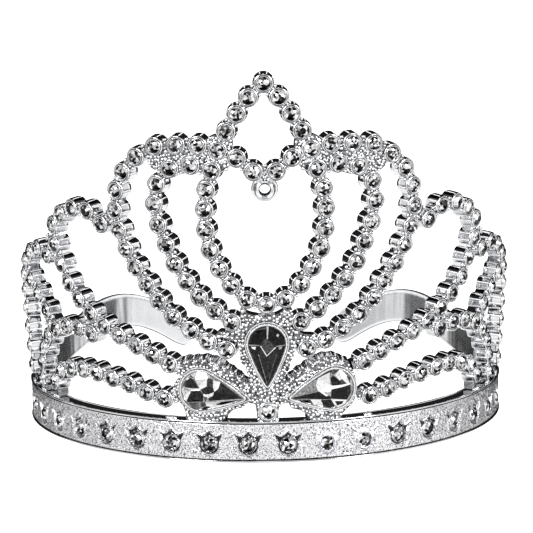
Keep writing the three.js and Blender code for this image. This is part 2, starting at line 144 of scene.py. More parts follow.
def lathe(profile, seg, phase=0.0):
    """Closed solid of revolution about z: profile of (r, z) from axis to axis."""
    prof = [p for p in profile]
    verts, rings = [], []
    for r, z in prof:
        if r < 1e-6:
            rings.append([len(verts)])
            verts.append((0, 0, z))
        else:
            rings.append(list(range(len(verts), len(verts) + seg)))
            for k in range(seg):
                t = 2 * math.pi * k / seg + phase
                verts.append((r * math.cos(t), r * math.sin(t), z))
    faces = []
    for a, b in zip(rings[:-1], rings[1:]):
        for k in range(seg):
            l = (k + 1) % seg
            if len(a) == 1:
                faces.append((a[0], b[k], b[l]))
            elif len(b) == 1:
                faces.append((a[k], b[0], a[l]))
            else:
                faces.append((a[k], b[k], b[l], a[l]))
    return np.array(verts, float), faces


def placed(verts, p, basis):
    return verts @ basis.T + p


def ring_tube(points, normals_out, radius, seg=8, closed=True, up=None):
    """A round wire along points; up is the fixed second axis of its section."""
    pts = np.asarray(points, float)
    n = len(pts)
    if closed:
        tan = np.roll(pts, -1, 0) - np.roll(pts, 1, 0)
    else:
        tan = np.gradient(pts, axis=0)
    tan /= np.linalg.norm(tan, axis=1)[:, None]
    up = np.asarray(up, float)
    if up.ndim == 1:
        up = np.repeat(up[None], n, 0)
    side = np.cross(tan, up)
    side /= np.linalg.norm(side, axis=1)[:, None]
    top = np.cross(side, tan)
    rad = np.broadcast_to(np.asarray(radius, float), (n,))
    verts = []
    for i in range(n):
        for k in range(seg):
            t = 2 * math.pi * k / seg
            verts.append(pts[i] + rad[i] * (math.cos(t) * side[i] + math.sin(t) * top[i]))
    faces = []
    for i in range(n if closed else n - 1):
        j = (i + 1) % n
        for k in range(seg):
            l = (k + 1) % seg
            faces.append((i * seg + k, i * seg + l, j * seg + l, j * seg + k))
    if not closed:
        faces.append(tuple(range(seg))[::-1])
        faces.append(tuple((n - 1) * seg + k for k in range(seg)))
    return np.array(verts), faces


def box_between(p1, p2, up, width, front, back, chamfer=0.25):
    """A chamfered bar from p1 to p2: up is its outward axis, front and back its levels on it."""
    d = p2 - p1
    L = np.linalg.norm(d)
    d = d / L
    side = np.cross(up, d)
    side /= np.linalg.norm(side)
    w, c = width / 2, chamfer
    sec = [(-w, back), (w, back), (w, front - c), (w - c, front), (-w + c, front), (-w, front - c)]
    verts = [p1 + s * side + o * up for s, o in sec] + [p2 + s * side + o * up for s, o in sec]
    k = len(sec)
    faces = [(i, (i + 1) % k, k + (i + 1) % k, k + i) for i in range(k)]
    faces = [f[::-1] for f in faces]
    faces += [tuple(range(k)), tuple(range(k, 2 * k))[::-1]]
    return np.array(verts), faces


def fix_outward(verts, faces):
    """Turns a closed shell the right way out, by its signed volume."""
    vol = 0.0
    for f in faces:
        a = verts[f[0]]
        for i in range(1, len(f) - 1):
            vol += np.dot(a, np.cross(verts[f[i]], verts[f[i + 1]]))
    return faces if vol > 0 else [tuple(reversed(f)) for f in faces]


# ------------------------------------------------------------------ materials
def mat(name):
    m = bpy.data.materials.new(name)
    m.use_nodes = True
    nt = m.node_tree
    return m, nt, nt.nodes, nt.links, nt.nodes["Principled BSDF"]


def noise_node(nt, scale, detail=3.0, rough=0.5, coord=None):
    n = nt.nodes.new("ShaderNodeTexNoise")
    n.inputs["Scale"].default_value = scale
    n.inputs["Detail"].default_value = detail
    n.inputs["Roughness"].default_value = rough
    if coord is None:
        coord = nt.nodes.new("ShaderNodeTexCoord").outputs["Object"]
    nt.links.new(coord, n.inputs["Vector"])
    return n


def map_range(nt, socket, lo, hi, a=0.3, b=0.7):
    r = nt.nodes.new("ShaderNodeMapRange")
    r.inputs["From Min"].default_value = a
    r.inputs["From Max"].default_value = b
    r.inputs["To Min"].default_value = lo
    r.inputs["To Max"].default_value = hi
    nt.links.new(socket, r.inputs["Value"])
    return r.outputs["Result"]


def metal(name, colour, rough, bumps=(), rough_scale=900.0, dark=None):
    """Plated metal: roughness varies in cloudy patches, colour a little, bumps are (scale, distance in mm, strength)."""
    m, nt, nodes, links, bsdf = mat(name)
    bsdf.inputs["Metallic"].default_value = 1.0
    coord = nodes.new("ShaderNodeTexCoord").outputs["Object"]
    n1 = noise_node(nt, rough_scale, 4.0, 0.55, coord)
    links.new(map_range(nt, n1.outputs["Fac"], rough[0], rough[1]), bsdf.inputs["Roughness"])
    n2 = noise_node(nt, rough_scale * 0.35, 3.0, 0.5, coord)
    ramp = nodes.new("ShaderNodeValToRGB")
    ramp.color_ramp.elements[0].position = 0.3
    ramp.color_ramp.elements[0].color = (*[c * 0.9 for c in colour], 1)
    ramp.color_ramp.elements[1].position = 0.65
    ramp.color_ramp.elements[1].color = (*colour, 1)
    links.new(n2.outputs["Fac"], ramp.inputs["Fac"])
    links.new(ramp.outputs["Color"], bsdf.inputs["Base Color"])
    last = None
    for scale, dist, strength in bumps:
        n = noise_node(nt, scale, 2.0, 0.5, coord)
        b = nodes.new("ShaderNodeBump")
        b.inputs["Strength"].default_value = strength
        b.inputs["Distance"].default_value = dist * MM
        links.new(n.outputs["Fac"], b.inputs["Height"])
        if last is not None:
            links.new(last, b.inputs["Normal"])
        last = b.outputs["Normal"]
    if last is not None:
        links.new(last, bsdf.inputs["Normal"])
    return m


def stone_material(name, rough=0.03, coat=0.5, ramp_stops=((0.0, 0.003), (0.25, 0.035), (0.5, 0.24), (0.75, 0.56), (1.0, 0.84)), tint=(1.0, 1.0, 1.01)):
    """Foil-backed cut stone: each facet's colour follows its tone, a painted reflection that is dark or bright per
    facet, under a clear polished face.
    """
    m, nt, nodes, links, bsdf = mat(name)
    at = nodes.new("ShaderNodeAttribute")
    at.attribute_name = "tone"
    coord = nodes.new("ShaderNodeTexCoord").outputs["Object"]
    n = noise_node(nt, 1500.0, 3.0, 0.6, coord)
    var = map_range(nt, n.outputs["Fac"], -0.16, 0.16)
    add = nodes.new("ShaderNodeMath")
    add.operation = "ADD"
    links.new(at.outputs["Fac"], add.inputs[0])
    links.new(var, add.inputs[1])
    ramp = nodes.new("ShaderNodeValToRGB")
    while len(ramp.color_ramp.elements) < len(ramp_stops):
        ramp.color_ramp.elements.new(0.5)
    for e, (p, v) in zip(ramp.color_ramp.elements, ramp_stops):
        e.position = p
        e.color = (v * tint[0], v * tint[1], min(1.0, v * tint[2]), 1)
    links.new(add.outputs[0], ramp.inputs["Fac"])
    links.new(ramp.outputs["Color"], bsdf.inputs["Base Color"])
    bsdf.inputs["Metallic"].default_value = 1.0
    n2 = noise_node(nt, 1500.0, 2.0, 0.5, coord)
    links.new(map_range(nt, n2.outputs["Fac"], rough, rough + 0.04), bsdf.inputs["Roughness"])
    bsdf.inputs["Coat Weight"].default_value = coat
    bsdf.inputs["Coat Roughness"].default_value = 0.02
    bsdf.inputs["Coat IOR"].default_value = 1.55
    return m


def shaded(name, lo, hi, scale, rough, bumps=(), metallic=1.0, contrast=(0.38, 0.62)):
    """Metal whose own brightness runs between lo and hi over fine irregular patches: painted shade in grooves, gaps and
    recesses, painted highlights and reflections on ridges and edges, and the dark specks of the frosted face.
    """
    m, nt, nodes, links, bsdf = mat(name)
    bsdf.inputs["Metallic"].default_value = metallic
    coord = nodes.new("ShaderNodeTexCoord").outputs["Object"]
    n = noise_node(nt, scale, 2.0, 0.6, coord)
    ramp = nodes.new("ShaderNodeValToRGB")
    ramp.color_ramp.elements[0].position = contrast[0]
    ramp.color_ramp.elements[0].color = (lo, lo, lo * 1.06, 1)
    ramp.color_ramp.elements[1].position = contrast[1]
    ramp.color_ramp.elements[1].color = (hi, hi, hi * 1.02, 1)
    links.new(n.outputs["Fac"], ramp.inputs["Fac"])
    links.new(ramp.outputs["Color"], bsdf.inputs["Base Color"])
    n2 = noise_node(nt, scale * 1.7, 3.0, 0.5, coord)
    links.new(map_range(nt, n2.outputs["Fac"], rough[0], rough[1]), bsdf.inputs["Roughness"])
    last = None
    for sc, dist, strength in bumps:
        nb = noise_node(nt, sc, 2.0, 0.5, coord)
        b = nodes.new("ShaderNodeBump")
        b.inputs["Strength"].default_value = strength
        b.inputs["Distance"].default_value = dist * MM
        links.new(nb.outputs["Fac"], b.inputs["Height"])
        if last is not None:
            links.new(last, b.inputs["Normal"])
        last = b.outputs["Normal"]
    if last is not None:
        links.new(last, bsdf.inputs["Normal"])
    return m


# matt white finish for the cup ridges and the lobe ribs: a painted highlight, bright where polished silver would show
# its reflections
M_RIDGE_PAINTED_HIGHLIGHT = shaded("ridge_painted_highlight_silver", 0.72, 0.88, 900.0, (0.3, 0.45), bumps=((1500.0, 0.08, 0.3),), metallic=0.0)
SILVER = (0.77, 0.776, 0.788)
M_POLISH = metal("polished_silver", SILVER, (0.02, 0.06), bumps=((800.0, 0.04, 0.22),))
M_CAST = metal("pebbled_silver", (0.86, 0.866, 0.878), (0.06, 0.14), bumps=((1900.0, 0.10, 0.45),))
M_BACK = metal("cast_back_silver", (0.80, 0.805, 0.815), (0.22, 0.36), bumps=((1500.0, 0.12, 0.5),))
M_FROST = shaded("frosted_silver", 0.05, 0.83, 2700.0, (0.26, 0.42), bumps=((3200.0, 0.10, 0.7),), contrast=(0.39, 0.49))
# bright copy of the recess finish: a painted highlight for the rings round the band stones and two lit recesses
M_PAINTED_HIGHLIGHT = shaded("painted_highlight_silver", 0.90, 0.99, 1500.0, (0.2, 0.32), bumps=((2000.0, 0.12, 0.5),))
# near-black copy of the recess finish: painted shade for the band's recesses and grooves and the fronts of the setting
# lobes
M_RECESS_PAINTED_SHADE = shaded("recess_painted_shade_silver", 0.008, 0.06, 1500.0, (0.22, 0.36), bumps=((2000.0, 0.12, 0.6),))
# painted shade: dark mottled finish for grooves, the seats under the stones, the link fronts and the eyelet's collar
M_GROOVE_PAINTED_SHADE = shaded("groove_painted_shade_silver", 0.02, 0.42, 1300.0, (0.2, 0.4), bumps=((2200.0, 0.12, 0.6),))
# painted reflection: dark and bright dashes on the cups' shoulder chamfers and the eyelet's rims
M_EDGE_PAINTED_REFLECTION = shaded("edge_painted_reflection_silver", 0.05, 0.80, 950.0, (0.08, 0.2), bumps=((1500.0, 0.12, 0.5),), contrast=(0.44, 0.56))
# painted shade: dark plate surface between the pebbles, and the dark lines beside the pear bezels
M_GAP_PAINTED_SHADE = shaded("grain_gap_painted_shade_silver", 0.03, 0.30, 1700.0, (0.25, 0.45), bumps=((2400.0, 0.15, 0.8),))
M_MIRROR = metal("mirror_silver", (0.80, 0.806, 0.822), (0.16, 0.22), bumps=(), rough_scale=250.0)


def streaks(m, scale, squash, dist, strength):
    """Faint ripples that run up and down a smooth plated strip."""
    nt = m.node_tree
    mp = nt.nodes.new("ShaderNodeMapping")
    mp.inputs["Scale"].default_value = (1.0, 1.0, squash)
    nt.links.new(nt.nodes.new("ShaderNodeTexCoord").outputs["Object"], mp.inputs["Vector"])
    n = noise_node(nt, scale, 2.0, 0.5, mp.outputs["Vector"])
    b = nt.nodes.new("ShaderNodeBump")
    b.inputs["Strength"].default_value = strength
    b.inputs["Distance"].default_value = dist * MM
    nt.links.new(n.outputs["Fac"], b.inputs["Height"])
    nt.links.new(b.outputs["Normal"], nt.nodes["Principled BSDF"].inputs["Normal"])


streaks(M_MIRROR, 150.0, 0.10, 0.5, 0.9)
M_STONE = stone_material("cut_stone", coat=0.15)
M_PEAR = stone_material("pear_stone", rough=0.025, coat=0.25, ramp_stops=((0.0, 0.003), (0.2, 0.03), (0.4, 0.12), (0.7, 0.44), (1.0, 0.97)))

# ------------------------------------------------------------------ bezel cups and their stones
# Cup section from under the stone round to the back, (radius, height above the wall surface).
CUP = [(0, -1.3), (1.45, -1.3), (1.76, -0.55), (1.81, -0.18), (1.87, 0.0), (1.95, 0.1), (2.05, 0.12), (2.13, 0.05), (2.17, -0.06),
       (2.19, -0.46), (2.28, -0.49), (2.31, -0.13), (2.38, -0.06), (2.50, -0.1), (2.60, -0.2), (2.66, -0.32), (2.72, -0.6),
       (2.76, -1.2), (2.84, -2.62), (2.88, -3.0), (2.88, -4.15), (2.82, -4.36), (2.62, -4.42), (0, -4.42)]
CUP_V, CUP_F = lathe(CUP, 36, math.radians(-5))
# nine narrow raised ridges run down the cup's wall, one every forty degrees
for q in CUP_V:
    r0 = math.hypot(q[0], q[1])
    if r0 > 1e-6:
        j = round((math.degrees(math.atan2(q[1], q[0])) + 5) / 10) % 36
        a0 = math.radians(40 * (j // 4) + (-2.2, 9.3, 20.7, 32.2)[j % 4] - 5)
        r1 = r0 + (0.07 if j % 4 in (0, 3) and r0 > 2.74 and -4.2 < q[2] < -1.0 else 0.0)
        q[0], q[1] = r1 * math.cos(a0), r1 * math.sin(a0)
CUP_F = fix_outward(CUP_V, CUP_F)
# cup faces by finish: 1 the back, 2 painted shade on the seat under the stone and in the groove, 3 painted reflections
# on the shoulder's chamfer, 4 painted highlights on the ridges, 0 polished silver
CUP_M = []
for f in CUP_F:
    c = CUP_V[list(f)].mean(0)
    rc = np.hypot(CUP_V[list(f), 0], CUP_V[list(f), 1]).mean()
    if c[2] < -4.3:
        CUP_M.append(1)
    elif rc < 1.83 and c[2] > -1.4 or (2.16 < rc < 2.295 and -0.7 < c[2] < -0.2):
        CUP_M.append(2)
    elif 2.65 < rc < 2.72 and c[2] > -0.8:
        CUP_M.append(3)
    elif rc > 2.74 and -4.3 < c[2] < -0.8 and round(math.degrees(math.atan2(c[1], c[0])) / 2) % 20 == 15:
        CUP_M.append(4)
    else:
        CUP_M.append(0)


def brilliant(table=0.52, height=0.36, mid=0.80, belly=-0.5, girdle=0.06):
    """Round cut stone of radius 1: vertices, faces and each face's direction and kind. The facets of the
    stone's back, which show through its flat top, are laid out on it around its centre."""
    v, f, kind = [], [], []
    for k in range(8):
        t = math.pi / 4 * k
        v.append((table * math.cos(t), table * math.sin(t), height))
    zm = height * 0.56
    for k in range(8):
        t = math.pi / 4 * (k + 0.5)
        v.append((mid * math.cos(t), mid * math.sin(t), zm))
    for k in range(16):
        t = math.pi / 8 * k
        v.append((math.cos(t), math.sin(t), 0))
    for k in range(16):
        t = math.pi / 8 * k
        v.append((math.cos(t), math.sin(t), -girdle))
    v.append((0, 0, belly))
    v.append((0.03, -0.05, height + 0.012))
    ang = []

    def put(face, kd, a):
        f.append(face)
        kind.append(kd)
        ang.append(a % (2 * math.pi))
    for k in range(8):
        k1, km = (k + 1) % 8, (k - 1) % 8
        put((k, k1, 49), "table", math.pi / 4 * (k + 0.5))
        put((k, 8 + k, k1), "star", math.pi / 4 * (k + 0.5))
        put((k, 8 + km, 16 + 2 * k, 8 + k), "kite", math.pi / 4 * k)
        put((8 + k, 16 + 2 * k, 16 + 2 * k + 1), "upper", math.pi / 4 * (k + 0.25))
        put((8 + k, 16 + 2 * k + 1, 16 + (2 * k + 2) % 16), "upper", math.pi / 4 * (k + 0.75))
    for k in range(16):
        l = (k + 1) % 16
        put((16 + k, 32 + k, 32 + l, 16 + l), "girdle", math.pi / 8 * (k + 0.5))
        put((32 + k, 48, 32 + l), "belly", math.pi / 8 * (k + 0.5))
    v = np.array(v, float)
    f2 = fix_outward(v, f)
    return v, f2, kind, ang


BR_V, BR_F, BR_K, BR_A = brilliant()


def stone_tones(seed_rng, turn=0.0):
    """Painted light for each facet: the lower part mostly in painted shade, the upper part mostly painted bright with
    highlights.
    """
    centre = math.radians(seed_rng.uniform(235, 305))
    width = math.radians(seed_rng.uniform(35, 65))
    tones = []
    for kd, a in zip(BR_K, BR_A):
        d = abs((a + turn - centre + math.pi) % (2 * math.pi) - math.pi)
        if kd in ("girdle", "belly"):
            tones.append(0.55)
        elif d < width:
            tones.append(float(seed_rng.choice([0.0, 0.05, 0.3, 0.95], p=[0.55, 0.2, 0.1, 0.15])))
        elif kd == "table":
            tones.append(float(seed_rng.choice([0.03, 0.3, 0.6, 1.0], p=[0.22, 0.18, 0.3, 0.3])))
        else:
            tones.append(float(seed_rng.choice([0.03, 0.3, 0.7, 1.0], p=[0.2, 0.12, 0.23, 0.45])))
    return tones


def add_stone(build, p, basis, radius, out, height=1.0, turn=0.0, tones=None):
    if tones is None:
        tones = stone_tones(rng, turn)
    c, s = math.cos(turn), math.sin(turn)
    rot = np.array([[c, -s, 0], [s, c, 0], [0, 0, 1.0]])
    v = (BR_V * [radius, radius, radius * height]) @ rot.T
    v[:, 2] += out
    build.add(placed(v, p, basis), BR_F, 0, False, tones)


# a small cast grain, sunk in the surface it sits on
def grain():
    v = [(0, 0, 1.0)]
    for t, n in ((38, 6), (72, 6)):
        for k in range(n):
            a = 2 * math.pi * (k + (0.5 if t == 72 else 0)) / n
            v.append((math.sin(math.radians(t)) * math.cos(a), math.sin(math.radians(t)) * math.sin(a), math.cos(math.radians(t))))
    base = len(v)
    for k in range(6):
        a = 2 * math.pi * (k + 0.5) / 6
        v.append((0.9 * math.cos(a), 0.9 * math.sin(a), -0.6))
    f = []
    for k in range(6):
        l = (k + 1) % 6
        f.append((0, 1 + k, 1 + l))
        f.append((1 + k, 7 + k, 1 + l))
        f.append((1 + l, 7 + k, 7 + l))
        f.append((7 + k, base + k, base + l, 7 + l))
    f.append(tuple(base + k for k in range(6))[::-1])
    v = np.array(v, float)
    return v, fix_outward(v, f)


GR_V, GR_F = grain()


def add_grain(build, p, basis, r, mat=0):
    q = rng.uniform(0.8, 1.2, 2)
    t = rng.uniform(0, math.pi)
    c, s = math.cos(t), math.sin(t)
    v = GR_V * [r * q[0], r * q[1], r * rng.uniform(0.75, 1.1)]
    v = v @ np.array([[c, -s, 0], [s, c, 0], [0, 0, 1.0]]).T
    build.add(placed(v, p, basis), GR_F, mat, True)


def add_link(build, a, b, width=2.7, front=-0.95, back=-4.1, grains=True):
    pa, ba = wall(*a)
    pb, bb = wall(*b)
    up = ba[:, 2] + bb[:, 2]
    up /= np.linalg.norm(up)
    d = pb - pa
    L = np.linalg.norm(d)
    d /= L
    v, f = box_between(pa + d * 1.6, pb - d * 1.6, up, width, front, back, 0.3)
    # the link's front and its two chamfers are darkened with the groove's painted shade
    build.add(v, fix_outward(v, f), [0, 0, 2, 2, 2, 0, 0, 0], True)
    if grains:
        side = np.cross(up, d)
        side /= np.linalg.norm(side)
        mid = (pa + pb) / 2
        basis = np.stack([d, -side, up], 1)
        if np.linalg.det(basis) < 0:
            basis[:, 1] *= -1
        gap = L - 5.5
        for s in (-1, 1):
            v = GR_V * [0.52 + max(0, gap) * 0.2, 0.5, 0.5]
            build.add(placed(v, mid + side * s * 1.62 + up * (front + 0.18), basis), GR_F, 0, True)
            v = GR_V * [0.36, 0.36, 0.42]
            build.add(placed(v, mid + side * s * 0.72 + d * 0.1 * s + up * (front + 0.3), basis), GR_F, 0, True)


def strand(name, cups, closed=False, foot=False, extra=()):
    metal_b, stone_b = Build(), Build()
    n = len(cups)
    for i, (az, z) in enumerate(cups):
        p, basis = wall(az, z)
        t = rng.uniform(-0.05, 0.05)
        metal_b.add(placed(CUP_V, p, basis), CUP_F, CUP_M, True)
        add_stone(stone_b, p, basis, 1.84, -0.02, 1.0, rng.uniform(0, math.pi / 4))
        if closed or i + 1 < n:
            add_link(metal_b, cups[i], cups[(i + 1) % n])
    if foot:
        az, z = cups[-1]
        add_link(metal_b, [az, z], [az, BAND_H - 1.4], width=2.6, grains=False)
        pf, bf = wall(az, BAND_H + 0.25)
        for s in (-1.3, -0.45, 0.45, 1.3):
            add_grain(metal_b, pf + bf[:, 0] * s + bf[:, 2] * -0.7, bf, 0.5)
    for a, b in extra:
        add_link(metal_b, a, b, width=2.6)
    ob = metal_b.make(name + "_metal", [M_POLISH, M_BACK, M_GROOVE_PAINTED_SHADE, M_EDGE_PAINTED_REFLECTION, M_RIDGE_PAINTED_HIGHLIGHT])
    st = stone_b.make(name + "_stones", [M_STONE], sharp=None, use_tone=True)
    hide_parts(name)
    for o, slot in ((ob, "polished_silver"), (st, "crystal")):
        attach(o, "root")
    return ob, st


peak = [PEAK_TOP, *PEAK, *mirrored(PEAK)[::-1]]
strand("peak_strand", peak, closed=True)
strand("heart_strand", [*HEART, HEART_POINT, *mirrored(HEART)[::-1]],
       extra=[(HEART[0], PEAK[3]), (mirrored(HEART)[0], mirrored(PEAK)[3]), (HEART[0], PEAK[4]), (mirrored(HEART)[0], mirrored(PEAK)[4])])
for side, tag in ((1, "right"), (-1, "left")):
    s = (lambda pts: pts) if side > 0 else mirrored
    pk, he, inn, out, sd, lo, cr, re, rt = map(s, (PEAK, HEART, INNER, OUTER, SIDE, LOWER, CROSS, REAR, RETURN))
    strand("inner_petal_" + tag, inn, extra=[(inn[0], he[0])])
    strand("outer_petal_" + tag, out, extra=[(out[0], pk[3])])
    strand("side_petal_" + tag, sd, extra=[(sd[0], out[6]), (sd[-1], [side * 18.2, 25.6])])
    strand("lower_strand_" + tag, lo, foot=True, extra=[(lo[0], [side * 18.9, 19.0])])
    strand("cross_strand_" + tag, cr, foot=True, extra=[(cr[0], sd[9]), (cr[0], sd[10])])
    strand("rear_petal_" + tag, re, foot=True, extra=[(re[0], sd[5]), (re[0], sd[4])])
    strand("return_strand_" + tag, rt, extra=[(rt[0], re[3]), (rt[0], re[4]), (rt[-1], cr[3]), (rt[-1], cr[4])])


# ------------------------------------------------------------------ pebbled plates
def inside(poly, pts):
    poly, pts = np.asarray(poly, float), np.asarray(pts, float)
    r = np.zeros(len(pts), bool)
    x, y = pts[:, 0], pts[:, 1]
    for i in range(len(poly)):
        x1, y1 = poly[i - 1]
        x2, y2 = poly[i]
        c = (y1 > y) != (y2 > y)
        if y1 != y2:
            r ^= c & (x < (x2 - x1) * (y - y1) / (y2 - y1) + x1)
    return r


def edge_distance(poly, pts):
    poly, pts = np.asarray(poly, float), np.asarray(pts, float)
    best = np.full(len(pts), 1e9)
    for i in range(len(poly)):
        a, b = poly[i - 1], poly[i]
        d = b - a
        t = np.clip(((pts - a) @ d) / max(d @ d, 1e-12), 0, 1)
        best = np.minimum(best, np.linalg.norm(pts - a - t[:, None] * d, axis=1))
    return best


def resample(poly, step):
    poly = np.asarray(poly, float)
    pts = np.vstack([poly, poly[:1]])
    seg = np.linalg.norm(np.diff(pts, axis=0), axis=1)
    cum = np.concatenate([[0], np.cumsum(seg)])
    n = max(8, int(round(cum[-1] / step)))
    t = np.linspace(0, cum[-1], n, endpoint=False)
    return np.stack([np.interp(t, cum, pts[:, 0]), np.interp(t, cum, pts[:, 1])], 1)


def smooth_closed(poly, times):
    p = np.asarray(poly, float)
    for _ in range(times):
        p = 0.5 * p + 0.25 * (np.roll(p, 1, 0) + np.roll(p, -1, 0))
    return p


def polygon_area(p):
    x, y = np.asarray(p, float).T
    return 0.5 * float(np.sum(x * np.roll(y, -1) - np.roll(x, -1) * y))


def outline_normals(p):
    d = np.roll(p, -1, 0) - np.roll(p, 1, 0)
    n = np.stack([d[:, 1], -d[:, 0]], 1)
    return n / np.linalg.norm(n, axis=1)[:, None]


def to_sz(pts):
    """[azimuth, height] to arc length and height, anticlockwise."""
    p = np.array([[math.radians(a) * RING_R, z] for a, z in pts])
    return p if polygon_area(p) > 0 else p[::-1]


def scatter(poly, spacing, margin, holes=(), cups=(), cup_r=2.75):
    lo, hi = poly.min(0), poly.max(0)
    n = int((hi[0] - lo[0]) * (hi[1] - lo[1]) / (spacing * spacing) * 9)
    cand = rng.uniform(lo, hi, (n, 2))
    ok = inside(poly, cand) & (edge_distance(poly, cand) > margin)
    for h, away in holes:
        ok &= ~inside(h, cand) & (edge_distance(h, cand) > away)
    for a, z in cups:
        ok &= np.hypot(cand[:, 0] - math.radians(a) * RING_R, cand[:, 1] - z) > cup_r
    cand = cand[ok]
    kept, cell, grid = [], spacing, {}
    for c in cand:
        k = (int(c[0] // cell), int(c[1] // cell))
        close = False
        for i in (-1, 0, 1):
            for j in (-1, 0, 1):
                for o in grid.get((k[0] + i, k[1] + j), ()):
                    if (o[0] - c[0]) ** 2 + (o[1] - c[1]) ** 2 < spacing * spacing:
                        close = True
        if not close:
            grid.setdefault(k, []).append(c)
            kept.append(c)
    return np.array(kept).reshape(-1, 2)


def plate(build, poly, front, back, flare=0.0, hole=None, mat=2, mat_back=1):
    """A plate that follows the wall: poly anticlockwise in (arc, height), front and back levels, its
    back outline larger by flare; hole is an inner outline cut right through."""
    verts2 = [Vector(p) for p in poly]
    n = len(poly)
    edges = [(i, (i + 1) % n) for i in range(n)]
    pts = list(verts2)
    if hole is not None:
        m = len(hole)
        edges += [(n + i, n + (i + 1) % m) for i in range(m)]
        pts += [Vector(p) for p in hole]
    lo, hi = np.min(poly, 0), np.max(poly, 0)
    gx, gy = np.meshgrid(np.arange(lo[0], hi[0], 1.3), np.arange(lo[1], hi[1], 1.3))
    g = np.stack([gx.ravel(), gy.ravel()], 1)
    ok = inside(poly, g) & (edge_distance(poly, g) > 0.5)
    if hole is not None:
        ok &= ~inside(hole, g) & (edge_distance(hole, g) > 0.5)
    pts += [Vector(p) for p in g[ok]]
    v2, e2, f2, ov, _, _ = delaunay_2d_cdt(pts, edges, [], 0, 1e-5)
    v2 = np.array([tuple(v) for v in v2])
    tris = []
    for f in f2:
        c = v2[list(f)].mean(0)[None]
        if inside(poly, c)[0] and not (hole is not None and inside(hole, c)[0]):
            tris.append(tuple(f))
    nrm = np.zeros_like(v2)
    on = outline_normals(np.asarray(poly))
    where = {}
    for new, olds in enumerate(ov):
        for o in olds:
            where[o] = new
            if o < n:
                nrm[new] = on[o]
    V = len(v2)
    top = wall_points(v2, front)
    bot = wall_points(v2 + nrm * flare, back)
    verts = np.vstack([top, bot])
    faces, mats = [], []
    for t in tris:
        a, b, c = v2[list(t)]
        if (b[0] - a[0]) * (c[1] - a[1]) - (b[1] - a[1]) * (c[0] - a[0]) < 0:
            t = t[::-1]
        faces.append(t)
        mats.append(mat)
        faces.append(tuple(V + i for i in reversed(t)))
        mats.append(mat_back)
    loops = [[where[i] for i in range(n)]]
    if hole is not None:
        inner = [where[n + i] for i in range(len(hole))]
        if polygon_area(hole) > 0:
            inner = inner[::-1]
        loops.append(inner)
    for lp in loops:
        for i in range(len(lp)):
            a, b = lp[i], lp[(i + 1) % len(lp)]
            faces.append((a, V + a, V + b, b))
            mats.append(0)
    build.add(verts, faces, mats, True)


def pebbles(build, pts, level, size=(0.36, 0.60), mat=0):
    for s, z in pts:
        az = math.degrees(s / RING_R)
        p, basis = wall(az, z, level + rng.uniform(-0.08, 0.1))
        add_grain(build, p, basis, rng.uniform(*size), mat)


# ------------------------------------------------------------------ pear stones
PEAR_L, PEAR_W = 17.6, 10.6
PEARS = {"centre": ([0, 34.0], 90), "right": ([14.9, 20.3], 8), "left": ([-14.9, 20.3], 172)}


def pear_outline(length, width, count=96):
    """Round end centred on the origin, tip at -x, anticlockwise."""
    r = width / 2
    tip = length - r
    tangent = math.acos(r / tip * 0.86)
    half = []
    n_arc = int(count * 0.3)
    for i in range(n_arc + 1):
        t = i / n_arc * (math.pi - tangent)
        half.append((r * math.cos(t), r * math.sin(t)))
    x0, y0 = half[-1]
    m = int(count * 0.2)
    for i in range(1, m):
        f = i / m
        bulge = math.sin(f * math.pi) * 0.35
        half.append((x0 + (-tip - x0) * f - bulge * 0.3, y0 * (1 - f) + bulge))
    pts = half + [(-tip, 0.0)] + [(x, -y) for x, y in half[1:][::-1]]
    return np.array(pts)


def pear_frame(name):
    (az, z), turn = PEARS[name]
    p, basis = wall(az, z, -0.3)
    t = math.radians(turn)
    rot = np.array([[math.cos(t), -math.sin(t), 0], [math.sin(t), math.cos(t), 0], [0, 0, 1.0]])
    return p, basis @ rot


def pear_to_sz(name, pts):
    """Outline in a pear's own plane to arc length and height on the wall."""
    p, basis = pear_frame(name)
    w = np.c_[pts, np.zeros(len(pts))] @ basis.T + p
    s = np.arctan2(w[:, 0], -(w[:, 1] - RING_Y)) * RING_R
    return np.stack([s, w[:, 2]], 1)
